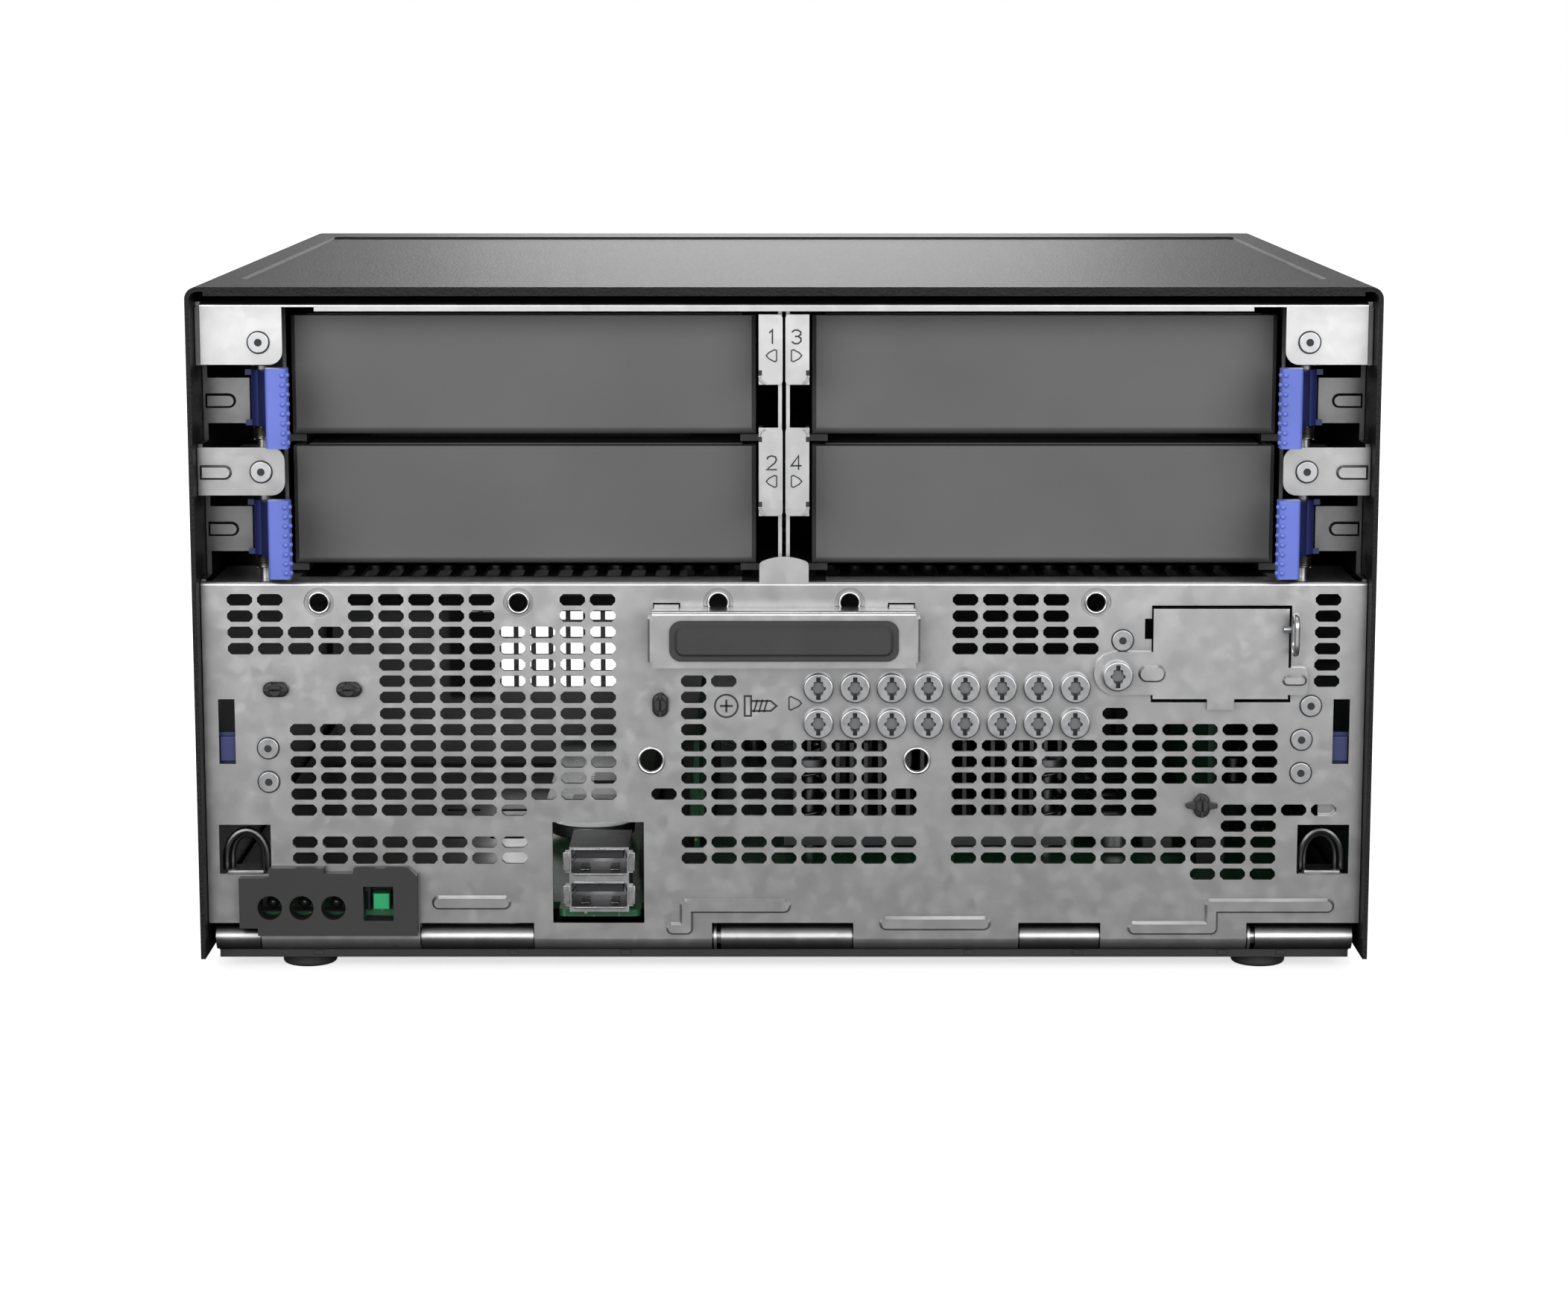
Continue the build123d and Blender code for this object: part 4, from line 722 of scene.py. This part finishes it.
def hook_loops():
    """Bent wire springs and bright steel lips at each opening for the bezel's hooks."""
    bm = bmesh.new()
    for side in (-1, 1):
        for depth, reach in ((8.4, 4.6), (10.2, 3.6)):
            turns = [pi * i / 14 for i in range(15)]
            arc = [
                (side * (HOOK_X - reach * cos(turn)), depth, 21.0 + (reach + 1.6) * sin(turn))
                for turn in turns
            ]
            add_wire(bm, [(arc[0][0], depth, 18.4)] + arc + [(arc[-1][0], depth, 18.4)], 0.8)
    piece("hook_loops", bm, shaded_hook_wire, "frame")
    lips = bmesh.new()
    for side in (-1, 1):
        add_box(lips, *sorted((side * 114.4, side * 122.4)), 4.75, 6.4, 18.0, 18.9)
        add_box(lips, *sorted((side * 117.2, side * 125.6)), 6.25, 6.75, 30.6, 35.0)
    piece("hook_lips", lips, steel, "frame", 0.2)


# ------------------------------------------------------------ ports, lamps and clips
PORT_X0, PORT_X1 = -47.2, -34.1
PORT_LEVELS = [(10.9, 16.1), (18.4, 23.6)]          # foot and top of each port's opening
NETWORK_PORTS = [(12.0, 28.5), (34.0, 50.5)]        # left and right edge of each port in the back


def front_ports():
    """Plastic tongues with four contacts each, and the flared lips of the steel shell."""
    tongues, contacts, lips = bmesh.new(), bmesh.new(), bmesh.new()
    for low, high in PORT_LEVELS:
        add_box(tongues, PORT_X0 + 1.2, PORT_X1 - 1.2, 6.2, 16.0, high - 2.3, high - 0.42)
        for x in (-44.1, -41.75, -39.55, -37.2):
            add_box(contacts, x - 0.5, x + 0.5, 6.8, 14.0, high - 2.42, high - 2.25)
        add_box(lips, PORT_X0 + 1.0, PORT_X1 - 1.0, 3.7, 4.3, low - 0.45, low + 0.02)
        add_box(lips, PORT_X0 + 1.0, PORT_X1 - 1.0, 3.7, 4.3, high - 0.02, high + 0.4)
        for side, edge in ((-1, PORT_X0), (1, PORT_X1)):
            add_box(lips, edge - side * 0.1, edge + side * 1.35, 4.0, 4.35, low + 0.5, high - 0.5)
            # a spring cut out of each side wall leans in
            spring = [(0.35, 6.0), (0.6, 6.0), (1.15, 12.0), (0.9, 12.0)]
            outline = [(edge - side * lean, depth) for lean, depth in spring]
            add_prism(lips, outline, low + 1.4, low + 3.0, axis="height")
        for x in (-43.9, -37.4):
            add_box(lips, x - 1.0, x + 1.0, 6.5, 13.0, low + 0.15, low + 0.4)
    piece("front_port_tongues", tongues, black, "base", 0.15)
    piece("front_port_contacts", contacts, gold, "base")
    piece("front_port_lips", lips, tin, "base", 0.12)


def rear_sockets():
    """Contacts, lamps and inserts of the ports in the rear wall."""
    metal, plastic, lamps = bmesh.new(), bmesh.new(), bmesh.new()
    for x0, x1 in NETWORK_PORTS:
        middle = (x0 + x1) / 2
        for pin in range(8):
            x = middle + (pin - 3.5) * 1.02
            add_wire(metal, [(x, 210.5, 20.3), (x, 214.0, 19.3), (x, 218.5, 19.6)], 0.22, 6)
        for x in (x0 + 1.0, x1 - 3.4):
            add_box(lamps, x, x + 2.4, REAR_OUTER - 1.5, REAR_OUTER + 0.02, 20.7, 22.6)
    insert = [(-14.1, 13.7), (1.1, 13.7), (-0.2, 11.5), (-12.8, 11.5)]
    add_prism(plastic, insert, REAR_OUTER - 4.6, REAR_OUTER - 4.2)
    add_box(metal, 59.6, 70.4, 211.5, 219.8, 12.0, 12.2)
    piece("rear_contacts", metal, gold, "base")
    piece("rear_insert", plastic, black, "base")
    piece("network_lamps", lamps, lamp_green, "base", 0.2)


def lamp_details():
    """Clear lamp domes behind the round holes and the frame of the power switch."""
    domes, surround = bmesh.new(), bmesh.new()
    for x in (-113.0, -106.0, -99.0):
        add_ball(domes, x, 8.7, 11.0, 1.5)
    add_box(surround, -116.3, -95.5, 5.6, 9.8, 9.32, 9.6)
    for x0, x1, h0, h1 in (
        (-91.9, -85.9, 14.7, 15.6), (-91.9, -91.2, 9.6, 15.0), (-86.3, -85.85, 9.6, 15.0),
    ):
        add_box(surround, x0, x1, 6.2, 9.2, h0, h1)
    piece("lamp_domes", domes, lamp_clear, "frame")
    piece("switch_surround", surround, black, "frame", 0.2)


# middle of each snap clip (x, height), and whether its fins lie flat
SNAP_CLIPS = [(-110.9, 59.4, True), (-94.9, 59.4, True), (-27.0, 56.0, False), (91.6, 33.6, False)]


def clip_fins():
    """The split barrels and side fins of the plastic snap clips."""
    bm = bmesh.new()
    for x, height, flat in SNAP_CLIPS:
        for start in (0.12, pi + 0.12):
            turn = start if flat else start + pi / 2
            add_disc(bm, x, height, 1.35, 2.75, 3.6, 14, turn, pi - 0.24)
        for sign in (-1, 1):
            if flat:
                add_box(bm, x + sign * 1.2, x + sign * 2.6, 2.9, 3.6, height - 0.35, height + 0.35)
            else:
                add_box(bm, x - 0.35, x + 0.35, 2.9, 3.6, height + sign * 1.2, height + sign * 2.5)
    # the right-hand clip has wings as well
    x, height, _ = SNAP_CLIPS[-1]
    for sign in (-1, 1):
        wing = [(1.2, 0.9), (3.4, 0.5), (3.4, -0.5), (1.2, -0.9)]
        add_prism(bm, [(x + sign * out, height + rise) for out, rise in wing], 3.3, 4.9)
    piece("clip_fins", bm, charcoal, "frame", 0.15)


# ---------------------------------------------------------------- board and drives
CHIPS = [    # middle across and in depth, then width, length and height
    (86, 33, 14, 14, 1.2), (60, 36, 9, 9, 1.0), (-45, 118, 16, 16, 1.6), (-44, 152, 10, 12, 1.1),
    (20, 150, 12, 12, 1.3), (45, 176, 9, 7, 1.0), (84, 158, 9, 9, 1.0), (112, 90, 7, 10, 1.1),
    (-8, 30, 6, 5, 0.9), (12, 36, 5, 6, 0.9), (-40, 42, 5, 4, 0.9), (73, 190, 6, 5, 0.9),
]
CANS = [     # middle across and in depth, then radius and height
    (78, 66, 4.0, 8.0), (78, 77, 4.0, 8.0), (78, 88, 4.0, 8.0), (78, 99, 4.0, 8.0),
    (116, 150, 3.2, 7.0), (116, 160, 3.2, 7.0), (106, 172, 4.0, 9.0), (-8, 190, 3.2, 7.0),
    (44, 132, 3.2, 7.0), (34, 132, 3.2, 7.0),
]
CHOKES = [(88, 66), (88, 78), (88, 90), (104, 160), (56, 150), (8, 132)]
CHOKE_HALF, CHOKE_TALL = 3.6, 4.2
PIN_PITCH = 1.6


def board_parts():
    """The larger parts soldered to the system board."""
    chips, cans, tops, chokes, pins, cell = (bmesh.new() for _ in range(6))
    for x, d, width, length, tall in CHIPS:
        left, right, start = x - width / 2, x + width / 2, d - length / 2
        add_box(chips, left, right, start, d + length / 2, BOARD, BOARD + tall)
        for k in range(int(length / PIN_PITCH)):
            depth = start + 1.0 + PIN_PITCH * k
            add_box(pins, left - 1.1, right + 1.1, depth - 0.25, depth + 0.25, BOARD, BOARD + 0.25)
    for x, d, radius, tall in CANS:
        top = BOARD + tall
        add_can(cans, x, d, radius, BOARD, top)
        add_can(tops, x, d, radius * 0.86, top, top + 0.12)
        add_box(chips, x - radius, x + radius, d - radius, d + radius, BOARD, BOARD + 0.8)
    for x, d in CHOKES:
        sides = (x - CHOKE_HALF, x + CHOKE_HALF, d - CHOKE_HALF, d + CHOKE_HALF)
        add_box(chokes, *sides, BOARD, BOARD + CHOKE_TALL)
    add_can(cell, -46, 84, 10.0, BOARD + 1.0, BOARD + 4.0, 48)
    piece("board_chips", chips, black, "base", 0.15)
    piece("board_chip_pins", pins, tin, "base")
    piece("board_cans", cans, can_sleeve, "base", 0.3)
    piece("board_can_tops", tops, ink, "base")
    piece("board_chokes", chokes, choke_grey, "base", 0.5)
    piece("board_cell", cell, zinc, "base", 0.4)


MEMORY_X = -20.0


def memory_chips():
    """Black packages over the memory module's chips, eight on each side."""
    bm = bmesh.new()
    for row in range(8):
        start = 46.5 + 16 * row
        for side in (-1, 1):
            across = sorted((MEMORY_X + side * 1.6, MEMORY_X + side * 1.85))
            add_box(bm, *across, start - 0.1, start + 9.1, 17.4, 29.6)
    piece("memory_packages", bm, black, "base", 0.1)


def drive_labels():
    """A plain paper label on the lid of each drive."""
    for number, (side, _) in LATCHES.items():
        middle = side * 57.0
        top = (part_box(f"drive_{number}")[1].z - sill) / MM
        bm = bmesh.new()
        add_box(bm, middle - 36, middle + 36, 40, 122, top - 0.05, top + 0.03)
        piece(f"drive_{number}_label", bm, label_paper, f"drive_{number}")


bay_numbers()
screw_mark()
rivet_marks()
screw_recesses("spare_screw", SPARE_SCREWS, PANEL, "frame")
screw_recesses("access_screw", [ACCESS_SCREW], PANEL - 1.0, "access_cover")
hole_rims()
tab_curls()
base_rim()
rear_shade_strips()
fan_shade_strip()
latch_bumps()
latch_coils()
hook_loops()
front_ports()
rear_sockets()
lamp_details()
clip_fins()
board_parts()
memory_chips()
drive_labels()


# --------------------------------------------------------------------------- floor
def floor_paper():
    """White paper to the eye, dimmer to the light that it sends back up."""
    s = Shader("floor_paper", rough=0.9)
    light_path = s.add("ShaderNodeLightPath")
    sight = light_path.outputs["Is Camera Ray"]
    s.link(s.mix(sight, (0.10, 0.10, 0.10), (0.92, 0.92, 0.92)), s.surface, "Base Color")
    s.surface.inputs["Emission Color"].default_value = (1, 1, 1, 1)
    s.link(s.spread(sight, 0, 0.66), s.surface, "Emission Strength")
    return s.material


floor_material = floor_paper()
bpy.ops.mesh.primitive_plane_add(size=12, location=(0, 0, 0))
floor = bpy.context.object
floor.name = "floor"
floor.data.materials.append(floor_material)
